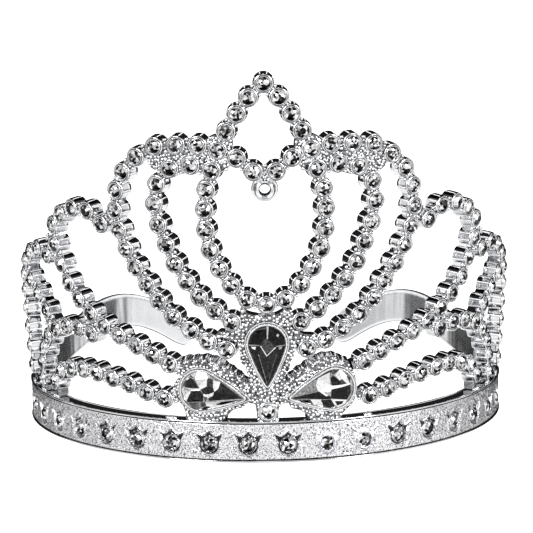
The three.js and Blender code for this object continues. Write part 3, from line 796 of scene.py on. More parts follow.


# Facets of the three pear stones in their own planes: (tone of the painted reflection, glint or shade, corners).
FACETS = {
    "centre": [
        (0.42, [(5.30, -0.36), (3.78, 3.79), (3.07, 2.14), (4.18, 0.21)]),
        (0.035, [(1.89, 0.23), (4.46, 0.19), (3.35, 2.69), (2.79, 3.94), (0.13, 4.94), (0.21, 2.04)]),
        (0.12, [(5.01, -0.64), (3.50, -4.06), (2.97, -2.81), (3.59, -0.61)]),
        (0.035, [(1.88, -0.48), (3.88, -0.51), (2.96, -3.09), (2.64, -4.46), (0.04, -5.15), (0.12, -2.78)]),
        (1.0, [(2.63, -2.70), (3.13, -3.14), (2.67, -3.53), (2.16, -3.14)]),
        (0.78, [(5.31, -0.04), (5.30, -0.36), (1.74, -0.28), (1.75, 0.04)]),
        (0.62, [(0.02, 5.22), (0.08, 2.04), (-0.24, 2.06), (-0.20, 5.09)]),
        (0.62, [(-0.30, -2.66), (-0.14, -5.15), (-0.40, -5.12), (-0.60, -2.74)]),
        (0.28, [(1.75, 0.23), (-0.30, -2.50), (-2.68, 0.15), (-0.08, 1.91)]),
        (0.05, [(-0.35, 4.95), (-0.36, 2.20), (-1.81, 1.38), (-2.65, 2.50), (-2.35, 4.43)]),
        (0.9, [(-0.50, 4.54), (-0.50, 3.15), (-1.36, 3.45), (-1.07, 4.28)]),
        (0.03, [(-2.35, 4.43), (-2.65, 2.50), (-12.17, 0.01)]),
        (0.09, [(-2.65, 2.50), (-1.81, 1.38), (-3.25, 0.19), (-12.17, 0.01)]),
        (0.86, [(-0.24, 2.00), (-0.16, 1.76), (-2.95, 0.05), (-3.34, 0.18)]),
        (0.86, [(-2.95, 0.05), (-0.64, -2.26), (-0.82, -2.60), (-3.34, 0.18)]),
        (0.05, [(-0.53, -5.12), (-0.74, -2.77), (-2.00, -1.37), (-2.74, -2.74), (-2.66, -4.67)]),
        (0.55, [(-0.64, -3.32), (-0.62, -4.42), (-1.35, -4.13), (-1.48, -3.45)]),
        (0.11, [(-2.00, -1.37), (-2.74, -2.74), (-12.17, 0.01), (-3.37, 0.19)]),
        (0.03, [(-2.66, -4.67), (-2.74, -2.74), (-12.17, 0.01)]),
        (0.45, [(-2.54, 2.61), (-2.65, 2.34), (-11.59, 0.05), (-11.59, 0.22)]),
        (0.35, [(-2.68, -2.58), (-2.80, -2.85), (-11.59, -0.14), (-11.59, -0.00)]),
    ],
    "left": [
        (0.93, [(5.77, 0.94), (5.17, -2.14), (3.59, -4.08), (1.38, -5.37), (-0.65, -5.45), (-3.05, -4.25), (1.46, -3.31), (3.22, -3.41), (4.45, -0.81), (4.46, 2.15), (3.44, 3.43), (4.58, 3.96)]),
        (0.2, [(4.55, -0.34), (4.00, -2.38), (3.06, -3.29), (1.70, -2.82), (0.22, -1.09), (2.36, -0.63)]),
        (1.0, [(1.59, -3.14), (-1.52, -3.85), (-1.80, -1.98), (-0.24, -0.88), (0.32, -1.45)]),
        (0.2, [(-1.65, -4.01), (-3.14, -3.97), (-3.46, -1.98), (-4.12, -0.76), (-2.79, -1.28), (-1.85, -1.99)]),
        (1.0, [(-3.39, -3.72), (-5.26, -3.59), (-4.96, -1.78), (-4.11, -0.91), (-3.52, -1.99)]),
        (0.13, [(-5.26, -3.59), (-11.78, -0.02), (-3.98, -0.74), (-4.96, -1.78)]),
        (0.03, [(-3.98, -0.74), (-11.78, -0.02), (-2.97, 1.92), (-2.47, 1.27)]),
        (0.85, [(-1.22, 0.33), (-3.98, -0.74), (-3.80, 0.31), (-2.47, 1.27), (-1.66, 1.86)]),
        (0.11, [(-0.24, -0.76), (-1.86, -1.91), (-3.97, -0.80), (-2.64, 0.10), (-1.24, 0.46)]),
        (1.0, [(-1.11, 0.37), (-1.62, 0.22), (-1.73, 0.73), (-1.22, 0.88)]),
        (0.28, [(-1.16, 0.95), (-2.44, 0.99), (-1.85, 2.42)]),
        (1.0, [(4.53, -0.20), (-0.07, -1.03), (-0.21, -0.53), (2.30, -0.05)]),
        (0.85, [(5.21, 0.52), (2.31, 0.00), (3.44, 3.43), (4.66, 3.08)]),
        (0.035, [(2.15, 0.01), (-0.22, -0.47), (-1.18, 0.48), (-1.28, 2.37), (3.13, 3.51), (3.46, 3.28)]),
        (0.08, [(1.37, 0.65), (-0.33, 0.04), (-0.81, 2.01), (1.18, 2.39)]),
        (0.5, [(2.83, 3.60), (-0.46, 2.85), (-1.04, 4.19), (-0.00, 5.48), (2.08, 5.23)]),
        (0.95, [(-1.85, 2.42), (-5.11, 1.86), (-11.66, 0.15), (-6.62, 2.79), (-3.31, 3.93), (-2.13, 3.55)]),
        (0.07, [(-4.50, 2.99), (-6.22, 1.68), (-11.75, 0.17), (-6.60, 2.56)]),
        (0.05, [(-0.94, 4.65), (-1.58, 3.94), (-3.13, 3.55), (-3.04, 3.98), (-1.40, 4.98)]),
        (0.3, [(-0.46, 2.85), (-1.85, 2.42), (-2.13, 3.55), (-1.04, 4.19)]),
    ],
    "right": [
        (0.55, [(-12.77, -0.42), (-4.16, 3.99), (-5.09, 2.35), (-5.02, 0.68), (-9.20, 0.19)]),
        (1.0, [(-4.16, 3.99), (-0.87, 4.88), (-1.36, 1.88), (-0.50, 0.82), (-1.52, -0.20), (-4.87, 0.71), (-5.09, 2.35)]),
        (0.03, [(-12.24, -0.63), (-9.20, 0.19), (-5.04, 0.51), (-3.79, 0.15), (-1.55, -1.61), (-1.64, -2.25), (-7.38, -1.03)]),
        (1.0, [(-4.59, 0.60), (-3.50, 0.20), (-2.22, -1.13), (-2.80, -1.18)]),
        (0.4, [(-4.16, 3.99), (-1.98, 5.26), (0.13, 5.81), (1.80, 5.04), (0.22, 4.20), (-0.87, 4.88)]),
        (0.08, [(-1.04, 3.44), (0.04, 3.94), (1.45, 2.31), (2.01, 0.86), (0.37, 0.78), (-0.86, 1.49)]),
        (0.3, [(1.45, 2.31), (2.22, 2.58), (3.48, 0.81), (2.01, 0.86)]),
        (0.9, [(0.50, 4.14), (2.07, 4.83), (3.60, 3.01), (4.36, 0.61), (3.48, 0.81), (2.22, 2.58), (1.45, 2.31)]),
        (1.0, [(-0.88, 1.34), (4.46, 0.73), (4.40, 0.30), (-0.99, 0.45)]),
        (0.03, [(-1.15, 0.36), (4.41, 0.36), (4.26, -2.04), (2.94, -3.52), (-1.59, -2.06)]),
        (0.12, [(3.26, 0.28), (4.46, 0.24), (4.34, -1.91), (3.16, -2.97)]),
        (0.42, [(-12.13, -0.85), (-7.68, -1.15), (-6.70, -2.34), (-7.92, -2.99)]),
        (0.15, [(-10.21, -1.15), (-7.71, -1.41), (-7.14, -2.41), (-9.18, -1.81)]),
        (1.0, [(-7.13, -1.26), (-4.32, -1.75), (-3.83, -3.51), (-6.23, -3.14)]),
        (0.1, [(-4.36, -2.04), (-1.61, -2.32), (-0.74, -4.17), (-1.82, -4.82), (-3.47, -4.05)]),
        (0.95, [(-1.56, -2.33), (2.93, -3.58), (2.35, -4.57), (0.20, -5.15), (-0.68, -4.18)]),
        (0.05, [(-0.57, -3.02), (1.87, -3.63), (1.48, -4.37), (-0.02, -4.50), (-0.33, -3.55)]),
    ],
}


def pear_height(x, y):
    """Crown of a pear stone: a low dome that falls from the table to the girdle."""
    tip = PEAR_L - PEAR_W / 2
    hx = np.where(x > 0, x / (PEAR_W / 2), -x / tip)
    half = np.where(x > 0, np.sqrt(np.maximum(1e-6, 1 - np.minimum(1, (x / (PEAR_W / 2)) ** 2))), np.maximum(1e-3, 1 - np.maximum(0, -x) / tip)) * PEAR_W / 2
    rho = np.maximum(np.abs(hx), np.minimum(1.0, np.abs(y) / np.maximum(half, 0.05)))
    rho = np.sqrt(np.clip(0.5 * hx ** 2 + 0.5 * rho ** 2, 0, 1))
    return 0.15 + 1.25 * np.clip(1 - ((rho - 0.32) / 0.68).clip(0, 1), 0, 1)


def pear_stone(name):
    p, basis = pear_frame(name)
    outline = pear_outline(PEAR_L, PEAR_W, 60)
    pts = [Vector(q) for q in outline]
    n = len(outline)
    edges, faces = [], [tuple(range(n))]
    # the tones of the top face, the traced facets and the sides are painted reflections, glints and shade in the
    # stone's colour
    tones = [0.6 if name != "centre" else 0.07]
    for tone, poly in FACETS[name]:
        poly = np.array(poly, float)
        keep = inside(outline, poly)
        for i in range(len(poly)):
            if not keep[i]:   # bring a corner that lies outside onto the girdle
                d = np.linalg.norm(outline - poly[i], axis=1)
                poly[i] = outline[d.argmin()] * 0.995
        if polygon_area(poly) < 0:
            poly = poly[::-1]
        base = len(pts)
        pts += [Vector(q) for q in poly]
        faces.append(tuple(range(base, base + len(poly))))
        tones.append(tone)
    v2, e2, f2, ov, oe, of = delaunay_2d_cdt(pts, edges, faces, 0, 1e-3)
    v2 = np.array([tuple(v) for v in v2])
    F, T = [], []
    for f, src in zip(f2, of):
        if not src:
            continue
        c = v2[list(f)].mean(0)[None]
        if not inside(outline, c)[0]:
            continue
        a, b, d = v2[list(f)][:3]
        if (b[0] - a[0]) * (d[1] - a[1]) - (b[1] - a[1]) * (d[0] - a[0]) < 0:
            f = f[::-1]
        F.append(tuple(f))
        T.append(tones[max(src)])
    z = pear_height(v2[:, 0], v2[:, 1])
    rim = edge_distance(outline, v2) < 0.06
    z[rim] = 0.12
    top = np.c_[v2, z]
    # boundary edges of the crown close down to a shallow belly
    count = {}
    for f in F:
        for i in range(len(f)):
            a, b = f[i], f[(i + 1) % len(f)]
            count[(a, b)] = count.get((a, b), 0) + 1
    border = [(a, b) for (a, b) in count if (b, a) not in count]
    V = len(v2)
    low = np.c_[v2 * 0.985, np.full(V, -0.9)]
    verts = np.vstack([top, low])
    FF, TT = list(F), list(T)
    for a, b in border:
        FF.append((a, V + a, V + b, b))
        TT.append(0.9)
    nxt = dict(border)
    start = border[0][0]
    loop = [start]
    while nxt.get(loop[-1]) is not None and nxt[loop[-1]] != start and len(loop) < 2 * V:
        loop.append(nxt[loop[-1]])
    FF.append(tuple(V + i for i in reversed(loop)))
    TT.append(0.9)
    used = sorted({i for f in FF for i in f})
    remap = {o: k for k, o in enumerate(used)}
    verts = verts[used]
    FF = [tuple(remap[i] for i in f) for f in FF]
    b = Build()
    b.add(placed(verts * ([0.985, 0.96, 1.0] if name == "centre" else [1.045, 1.055, 1.0]), p, basis), FF, 0, False, TT)
    ob = b.make("pear_stone_%s_cut" % name, [M_PEAR], sharp=None, use_tone=True)
    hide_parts("pear_stone_" + name)
    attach(ob, "root")


def bezel_wire(build, name):
    p, basis = pear_frame(name)
    # (offset from the stone's own outline, wire radius, height, material): a seat line and a step outside it,
    # both darkened with painted shade, the bright wire and a fine outer wire
    for d, r, h, m in ((0.30, 0.16, 0.05, 2), (0.62, 0.27, 0.16, 0), (0.95, 0.17, -0.12, 2), (1.22, 0.17, -0.2, 0)):
        trim = 0.95 if name == "centre" else 0.0
        o = smooth_closed(pear_outline(PEAR_L - trim + 2 * d + 0.75 * d, PEAR_W - trim + 2 * d, 110), 3)
        pts = placed(np.c_[o, np.full(len(o), h)], p, basis)
        v, f = ring_tube(pts, None, r, 6, True, basis[:, 2])
        build.add(v, fix_outward(v, f), m, True)


CENTRE_OUTLINE = [[-5.63, 43.98], [-4.16, 42.56], [-2.25, 41.98], [-0.12, 41.66], [2.24, 42.17], [3.74, 43.25], [5.46, 43.75], [5.88, 41.17], [5.22, 38.64], [6.52, 37.16], [8.48, 36.19], [10.68, 36.05], [11.13, 34.59], [9.14, 34.44], [6.51, 33.73], [6.07, 31.47], [5.85, 29.76], [4.97, 28.37], [5.18, 26.92], [4.3, 25.53], [3.5, 24.13], [4.29, 23.23], [5.16, 21.75], [5.37, 18.56], [4.92, 16.85], [2.92, 16.35], [2.3, 14.63], [2.3, 11.3], [-2.3, 11.3], [-2.5, 14.74], [-2.8, 16.77], [-5.03, 16.77], [-5.21, 19.09], [-5.39, 21.39], [-4.49, 22.55], [-3.59, 23.99], [-4.66, 25.72], [-4.63, 27.44], [-5.92, 28.58], [-5.88, 30.59], [-6.07, 32.31], [-6.46, 34.3], [-8.4, 35.14], [-11.45, 35.92], [-10.31, 37.67], [-7.71, 37.14], [-5.73, 38.87], [-5.68, 41.43]]
LEFT_OUTLINE = [[-19.39, 28.64], [-17.06, 28.94], [-13.41, 29.41], [-10.76, 28.5], [-8.37, 26.54], [-6.64, 24.99], [-5.14, 23.27], [-3.63, 21.54], [-3.89, 18.51], [-4.81, 16.77], [-5.49, 15.61], [-7.73, 15.01], [-9.12, 13.23], [-10.51, 11.5], [-18.63, 11.3], [-18.89, 13.89], [-19.41, 15.89], [-20.8, 16.94], [-21.97, 18.01], [-21.61, 20.66], [-20.57, 22.77], [-20.23, 25.11], [-20.39, 27.13]]
RIGHT_OUTLINE = [[4.29, 23.23], [5.39, 24.04], [6.72, 25.55], [8.27, 26.61], [10.04, 28.37], [11.82, 29.24], [13.85, 29.51], [15.68, 29.2], [16.84, 28.08], [18.24, 27.94], [18.74, 25.86], [19.71, 24.31], [20.23, 22.22], [20.51, 19.87], [20.31, 17.57], [19.62, 15.62], [18.44, 14.3], [17.73, 13.51], [17.03, 12.71], [16.57, 11.3], [9.86, 11.4], [8.5, 13.46], [7.82, 14.37], [5.36, 15.09], [4.7, 16.57], [4.71, 18.88], [4.06, 21.22]]
ALL_CUPS = peak + HEART + mirrored(HEART) + [HEART_POINT]
for _l in (INNER, OUTER, SIDE, LOWER, CROSS, REAR, RETURN):
    ALL_CUPS = ALL_CUPS + _l + mirrored(_l)


def scalloped(poly, first, last, lobe, amp, rib, rib_amp):
    """Gives the stretch of outline between two points lobes with fine ribs on them."""
    p = resample(poly, 0.16)
    n = len(p)
    i0 = int(np.linalg.norm(p - first, axis=1).argmin())
    i1 = int(np.linalg.norm(p - last, axis=1).argmin())
    idx = [(i0 + k) % n for k in range((i1 - i0) % n + 1)]
    nrm = outline_normals(smooth_closed(p, 12))
    seg = np.linalg.norm(p[idx][1:] - p[idx][:-1], axis=1)
    s = np.concatenate([[0], np.cumsum(seg)])
    total = s[-1]
    lobes = max(1, round(total / lobe))
    u = s / total * lobes
    lobe_shape = np.abs(np.sin(math.pi * u)) ** 0.5
    ribs = np.abs(np.sin(math.pi * u * round(lobe / rib))) ** 0.7
    q = p.copy()
    q[idx] = p[idx] + nrm[idx] * ((lobe_shape - 0.75) * amp + (ribs - 0.5) * rib_amp * (lobe_shape > 0.55))[:, None]
    return q


def edge_lobes(build, poly, first, last, pitch, r=1.5):
    """Round lobes side by side along a stretch of the edge, as deep as the cups of the strands."""
    p = resample(poly, 0.12)
    n = len(p)
    i0 = int(np.linalg.norm(p - first, axis=1).argmin())
    i1 = int(np.linalg.norm(p - last, axis=1).argmin())
    idx = [(i0 + k) % n for k in range((i1 - i0) % n + 1)]
    nrm = outline_normals(smooth_closed(p, 14))[idx]
    q = smooth_closed(p, 6)[idx]
    s = np.concatenate([[0], np.cumsum(np.linalg.norm(np.diff(q, axis=0), axis=1))])
    count = max(1, round(s[-1] / pitch))
    prof = [(0, -0.76), (r - 0.95, -0.76), (r - 0.82, -0.84), (r - 0.16, -1.62), (r - 0.03, -1.9), (r, -2.3), (r, -3.7), (r - 0.1, -3.95), (r - 0.3, -4.05), (0, -4.05)]
    v, f = lathe(prof, 28)
    f = fix_outward(v, f)
    for L in range(count):
        k = int(np.searchsorted(s, (L + 0.5) / count * s[-1]).clip(0, len(s) - 1))
        c = q[k] - nrm[k] * (r - 0.45)
        pl, bl = wall(math.degrees(c[0] / RING_R), c[1])
        # the front of each lobe is darkened with painted shade, its back has the cast back finish
        build.add(placed(v, pl, bl), f, [4 if v[list(q), 2].mean() > -2.9 else 1 for q in f], True)
        # ribs run over the flank of each lobe and down its seams, their brightness a painted highlight
        for turn in (-62, 0, 62):
            ct, sn = math.cos(math.radians(turn)), math.sin(math.radians(turn))
            d = np.array([nrm[k][0] * ct - nrm[k][1] * sn, nrm[k][0] * sn + nrm[k][1] * ct])
            line = np.array([wall_points((c + d * rho)[None], o)[0] for rho, o in
                             ((r - 1.25, -0.72), (r - 0.85, -0.70), (r - 0.14, -1.46), (r + 0.03, -1.95), (r + 0.06, -2.6), (r + 0.04, -3.6))])
            v2, f2 = ring_tube(line, None, [0.12, 0.17, 0.18, 0.18, 0.18, 0.15], 6, False, bl[:, 2] + bl[:, 1] * 0.5)
            build.add(v2, fix_outward(v2, f2), 3, True)


def setting(tag, outline, lobes=None):
    b = Build()
    poly = to_sz(outline)
    if lobes is None:
        poly = smooth_closed(resample(poly, 0.35), 4)
        flare = 0.25
    else:
        first, last = [np.array([math.radians(a) * RING_R, z]) for a, z in lobes]
        poly = scalloped(smooth_closed(resample(poly, 0.3), 3), first, last, 2.66, 0.75, 0.9, 0.32)
        flare = 0.75
    hole = pear_to_sz(tag, pear_outline(PEAR_L - 1.0, PEAR_W - 1.0, 50))
    if polygon_area(hole) < 0:
        hole = hole[::-1]
    # the plate's front between the pebbles is darkened with painted shade
    plate(b, poly, -0.75, -3.6 if lobes is not None else -3.3, flare, None)
    wire = pear_to_sz(tag, pear_outline(PEAR_L + 2.2, PEAR_W + 2.2, 60))
    if polygon_area(wire) < 0:
        wire = wire[::-1]
    other = [(pear_to_sz(t, pear_outline(PEAR_L + 2.2, PEAR_W + 2.2, 60)), 0.2) for t in PEARS]
    pts = scatter(poly, 0.80, 0.22, other, ALL_CUPS)
    if lobes is not None:
        i0 = int(np.linalg.norm(poly - first, axis=1).argmin())
        i1 = int(np.linalg.norm(poly - last, axis=1).argmin())
        edge = poly[[(i0 + k) % len(poly) for k in range((i1 - i0) % len(poly) + 1)]]
        near = np.array([np.linalg.norm(edge - q, axis=1).min() for q in pts])
        pts = pts[near > 1.15]
    pebbles(b, pts, -0.72)
    bezel_wire(b, tag)
    if lobes is not None:
        edge_lobes(b, poly, first, last, 2.66)
    ob = b.make("pear_setting_%s_metal" % tag, [M_CAST, M_BACK, M_GAP_PAINTED_SHADE, M_RIDGE_PAINTED_HIGHLIGHT, M_RECESS_PAINTED_SHADE], sharp=40)
    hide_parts("pear_setting_" + tag)
    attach(ob, "root")


setting("centre", CENTRE_OUTLINE)
setting("left", LEFT_OUTLINE, ([-3.9, 21.9], [-19.0, 28.9]))
setting("right", RIGHT_OUTLINE, ([17.6, 28.2], [4.5, 23.4]))
for t in PEARS:
    pear_stone(t)


# ------------------------------------------------------------------ pebbled webs between the petals
WEBS = {
    "pebbled_web_left": [[-24.81, 85.98], [-22.03, 87.76], [-19.46, 87.2], [-16.24, 87.2], [-13.05, 87.71], [-11.85, 86.08], [-12.92, 84.69], [-13.4, 82.48], [-16.6, 81.58], [-19.22, 80.94], [-21.81, 82.51], [-22.95, 81.9], [-24.7, 83.49]],
    "pebbled_web_right": [[26.25, 84.83], [23.43, 86.73], [20.53, 87.1], [17.47, 87.1], [14.25, 87.09], [12.79, 85.52], [13.86, 83.81], [14.29, 82.13], [17.53, 80.81], [20.4, 80.04], [23.08, 81.49], [24.48, 80.82], [26.31, 82.6]],
}
JOINTS = {
    "joint_web_left": [[-11.9, 91.2], [-10.24, 92.3], [-9.05, 91.58], [-6.63, 91.3], [-6.6, 88.84], [-7.6, 87.75], [-7.0, 85.55], [-6.57, 83.9], [-8.61, 83.6], [-10.2, 84.6], [-12.64, 86.08], [-13.2, 88.27]],
    "joint_web_right": [[6.41, 91.03], [8.24, 90.96], [10.0, 92.2], [11.7, 91.0], [13.2, 87.78], [12.8, 85.05], [10.0, 84.2], [8.45, 84.0], [7.0, 83.85], [6.4, 84.17], [7.22, 85.79], [7.53, 87.41], [6.21, 88.84]],
}
for name, pts in WEBS.items():
    b = Build()
    poly = smooth_closed(resample(to_sz(pts), 0.35), 3)
    # the plate's front between the pebbles is darkened with painted shade
    plate(b, poly, -1.0, -3.4, 0.15)
    pebbles(b, scatter(poly, 0.7, 0.15, (), ALL_CUPS), -0.95, (0.32, 0.5))
    ob = b.make(name + "_metal", [M_CAST, M_BACK, M_GAP_PAINTED_SHADE], sharp=40)
    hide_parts(name)
    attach(ob, "root")
for name, pts in JOINTS.items():
    b = Build()
    poly = smooth_closed(resample(to_sz(pts), 0.35), 3)
    # the plate's front between the pebbles is darkened with painted shade
    plate(b, poly, -0.9, -3.4, 0.1)
    pebbles(b, scatter(poly, 0.72, 0.15, (), ALL_CUPS), -0.85, (0.34, 0.55))
    ob = b.make(name, [M_CAST, M_BACK, M_GAP_PAINTED_SHADE], sharp=40)
    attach(ob, "root")

# ------------------------------------------------------------------ eyelet under the peak
b = Build()
p, basis = wall(0, 77.05)
prof = [(1.46, -3.9), (2.2, -3.95), (3.3, -3.9), (3.62, -3.72), (3.7, -3.3), (3.56, -3.0), (3.1, -2.9), (2.85, -2.75), (2.72, -2.2),
        (2.66, -0.9), (2.5, -0.55), (2.15, -0.4), (1.8, -0.55), (1.6, -0.85), (1.46, -1.3)]
seg = 40
v, f = [], []
for r, z in prof:
    for k in range(seg):
        t = 2 * math.pi * k / seg
        v.append((r * math.cos(t), r * math.sin(t), z))
for i in range(len(prof)):
    j = (i + 1) % len(prof)
    for k in range(seg):
        l = (k + 1) % seg
        f.append((i * seg + k, i * seg + l, j * seg + l, j * seg + k))
v = np.array(v, float)
# eyelet faces: 1 painted shade on a ring of the collar and on the lower side of the hole, 2 painted reflections on the
# rims, 0 polished
em = []
for fc in f:
    c = v[list(fc)].mean(0)
    rc = np.hypot(v[list(fc), 0], v[list(fc), 1]).mean()
    em.append(1 if (2.8 < rc < 3.25 and c[2] > -3.1) or (rc < 1.7 and c[1] < -0.2 and c[0] < 0.9) else (2 if rc > 3.45 or 2.6 < rc < 2.8 else 0))
b.add(placed(v, p, basis), fix_outward(v, f), em, True)
for s in (-1, 1):
    pa, ba = wall(s * 0.75, 79.2)
    pb, bb = wall(s * 2.0, 81.2)
    vv, ff = box_between(pa, pb, ba[:, 2], 2.2, -1.5, -3.9, 0.3)
    b.add(vv, fix_outward(vv, ff), 0, True)
pebbles(b, np.array([[x, 80.9 + y] for x, y in ((-1.5, -0.4), (-0.5, 0.1), (0.5, -0.1), (1.4, -0.5), (-0.9, -0.9), (0.1, -0.8), (1.0, -1.0), (-0.2, 0.9), (0.5, 1.0))]), -1.3, (0.4, 0.55))
ob = b.make("eyelet_metal", [M_POLISH, M_GROOVE_PAINTED_SHADE, M_EDGE_PAINTED_REFLECTION], sharp=40)
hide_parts("eyelet")
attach(ob, "root")

# ------------------------------------------------------------------ round setting under the centre pear
b, st = Build(), Build()
p, basis = wall(0, 14.55)
prof = [(0, -1.2), (1.8, -1.2), (1.98, -0.5), (2.04, 0.0), (2.14, 0.16), (2.3, 0.16), (2.42, -0.02), (2.46, -0.3), (2.54, -0.36), (2.66, -0.2), (2.74, -0.24),
        (2.78, -0.5), (2.8, -3.6), (2.6, -3.9), (0, -3.9)]
v, f = lathe(prof, 36)
b.add(placed(v, p, basis), fix_outward(v, f), 0, True)
add_stone(st, p, basis, 2.03, 0.0, 1.0, 0.3)
ob = b.make("round_setting_metal", [M_POLISH], sharp=38)
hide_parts("round_setting")
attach(ob, "root")
ob = st.make("round_stone_cut", [M_STONE], sharp=None, use_tone=True)
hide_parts("round_stone")
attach(ob, "root")

# ------------------------------------------------------------------ head band
COLS = 1150
A_END = math.radians(88.2)
col_a = np.linspace(-A_END, A_END, COLS)
row_z = np.concatenate([[0.0, 0.06, 0.16, 0.28, 0.40, 0.50, 0.57, 0.64, 0.71, 0.79], np.linspace(0.9, 10.72, 46), [10.82, 10.91, 11.0, 11.08, 11.15, 11.22, 11.31, 11.43, 11.56, 11.64, 11.7]])
base_off = np.interp(row_z, [0, 0.06, 0.18, 0.3, 0.42, 0.52, 0.6, 0.68, 0.76, 0.88, 10.72, 10.82, 10.91, 11.0, 11.12, 11.2, 11.28, 11.44, 11.58, 11.65, 11.7],
                     [0.02, 0.16, 0.30, 0.33, 0.28, 0.1, -0.16, -0.22, -0.08, 0.0, 0.0, -0.06, -0.28, -0.32, -0.12, 0.2, 0.33, 0.35, 0.28, 0.14, 0.0])
R, C = len(row_z), COLS
S = col_a * RING_R
off = np.repeat(base_off[:, None], C, 1)
pebble = rng.normal(size=(R, C))
for _ in range(2):
    pebble = 0.4 * pebble + 0.15 * (np.roll(pebble, 1, 0) + np.roll(pebble, -1, 0) + np.roll(pebble, 1, 1) + np.roll(pebble, -1, 1))
pebble /= pebble.std()
face_mask = ((row_z > 0.9) & (row_z < 10.65)).astype(float)[:, None]
recess = np.zeros((R, C))
TULIP = np.array([(2.72, 0.1), (2.95, 1.1), (3.35, 2.1), (3.85, 3.1), (2.8, 2.5), (2.05, 2.2), (1.3, 2.6), (0.6, 3.15), (0, 3.85),
                  (-0.6, 3.15), (-1.3, 2.6), (-2.05, 2.2), (-2.8, 2.5), (-3.85, 3.1), (-3.35, 2.1), (-2.95, 1.1), (-2.72, 0.1)])
# the second and third stones on the right get a painted highlight in their recesses; the other recesses get painted
# shade
LIT = {(1, 1), (1, 2)}
lit = np.zeros((R, C))
rings = np.zeros((R, C))
stone_az = [sd * (i + 0.5) * BAND_STONE_PITCH / RING_R for i in range(9) for sd in (-1, 1)]
lit_az = {sd * (i + 0.5) * BAND_STONE_PITCH / RING_R for sd, i in LIT}
for a in stone_az:
    s0 = a * RING_R
    cs = np.where(np.abs(S - s0) < 5.2)[0]
    x, y = np.meshgrid(S[cs] - s0, row_z - BAND_STONE_Z)
    q = np.stack([x.ravel(), y.ravel()], 1)
    d = edge_distance(TULIP, q)
    ins = inside(TULIP, q)
    sdf = np.where(ins, -d, d)
    rr = np.hypot(q[:, 0], q[:, 1])
    sdf = np.minimum(sdf, rr - 2.8).reshape(x.shape)
    rr = rr.reshape(x.shape)
    t = np.clip(0.5 - sdf / 0.34, 0, 1)
    t = t * t * (3 - 2 * t)
    h = -0.8 * t + 0.16 * np.exp(-((sdf - 0.3) / 0.17) ** 2)
    ring = np.exp(-((rr - 2.16) / 0.17) ** 4)
    h = np.where(rr < 2.5, h + 0.82 * ring, h)
    blk = off[:, cs]
    live = (sdf < 1.0) & (face_mask > 0)
    off[:, cs] = np.where(live, np.where(sdf < 1.0, h, blk), blk)
    # masks for painted light: the ring round every stone and the recesses of the lit stones take a painted highlight,
    # the other recesses painted shade
    rings[:, cs] = np.maximum(rings[:, cs], ((rr > 1.95) & (rr < 2.38)).astype(float))
    if a in lit_az:
        lit[:, cs] = np.maximum(lit[:, cs], (sdf < 0.3).astype(float))
    recess[:, cs] = np.maximum(recess[:, cs], ((sdf < -0.05) & ~((rr > 1.95) & (rr < 2.38))).astype(float))
off = off + pebble * 0.05 * face_mask * (1 - 0.55 * recess)
rad = RING_R + off
verts = np.stack([rad * np.sin(col_a)[None], -rad * np.cos(col_a)[None] + RING_Y, np.repeat(row_z[:, None], C, 1)], 2)
Ri, Rw = RING_R - BAND_DEPTH, RING_R - BAND_WALL
inner_prof = [(71.85, 11.7), (71.2, 11.73), (69.4, 11.73), (Ri + 0.35, 11.72), (Ri + 0.08, 11.6), (Ri, 11.35), (Ri + 0.02, 10.65), (Ri + 0.25, 10.46), (Rw - 0.5, 10.42), (Rw, 10.1),
              (Rw, 1.6), (Rw - 0.4, 1.22), (Ri + 0.25, 1.18), (Ri + 0.02, 1.0), (Ri, 0.25), (Ri + 0.2, 0.02), (69.5, 0.0), (71.8, 0.0)]
ext = np.array([[[r * math.sin(a), -r * math.cos(a) + RING_Y, z] for a in col_a] for r, z in inner_prof])
grid = np.concatenate([verts, ext], 0)
RT = grid.shape[0]
idx = np.arange(RT * C).reshape(RT, C)
nxt = np.roll(idx, -1, 0)
quads = np.stack([idx[:, :-1], idx[:, 1:], nxt[:, 1:], nxt[:, :-1]], 2).reshape(-1, 4)
rowid = np.repeat(np.arange(RT), C - 1)
mats = np.where(rowid < 10, 1, np.where(rowid < 55, 0, np.where(rowid < R + 7, 1, 3)))
# the grooves along the bottom bead and under the top ledge are darkened with painted shade
mats = np.where(((rowid >= 5) & (rowid <= 8)) | ((rowid >= 56) & (rowid <= 59)), 2, mats)
rec = np.zeros((RT, C))
rec[:R] = recess
rq = (rec[:, :-1] + rec[:, 1:] + np.roll(rec, -1, 0)[:, :-1] + np.roll(rec, -1, 0)[:, 1:]) / 4
rq = rq.reshape(-1)
lt = np.zeros((RT, C))
lt[:R] = lit
lq = lt[:, :-1].reshape(-1)
# recess faces take the painted highlight at the lit stones and painted shade elsewhere; then the rings round the stones
# take the painted highlight
mats = np.where((rq > 0.5) & (rowid < R), np.where(lq > 0.5, 4, 2), mats)
rg = np.zeros((RT, C))
rg[:R] = rings
mats = np.where((rg[:, :-1].reshape(-1) > 0.5) & (rowid < R), 4, mats)
faces = [tuple(q) for q in quads.tolist()]
caps = [tuple(idx[:, 0].tolist()), tuple(idx[::-1, C - 1].tolist())]
b = Build()
V = grid.reshape(-1, 3)
b.add(V, faces + caps, mats.tolist() + [1, 1], True)
band = b.make("head_band_metal", [M_FROST, M_POLISH, M_RECESS_PAINTED_SHADE, M_BACK, M_PAINTED_HIGHLIGHT], sharp=50)
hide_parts("head_band")
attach(band, "root")

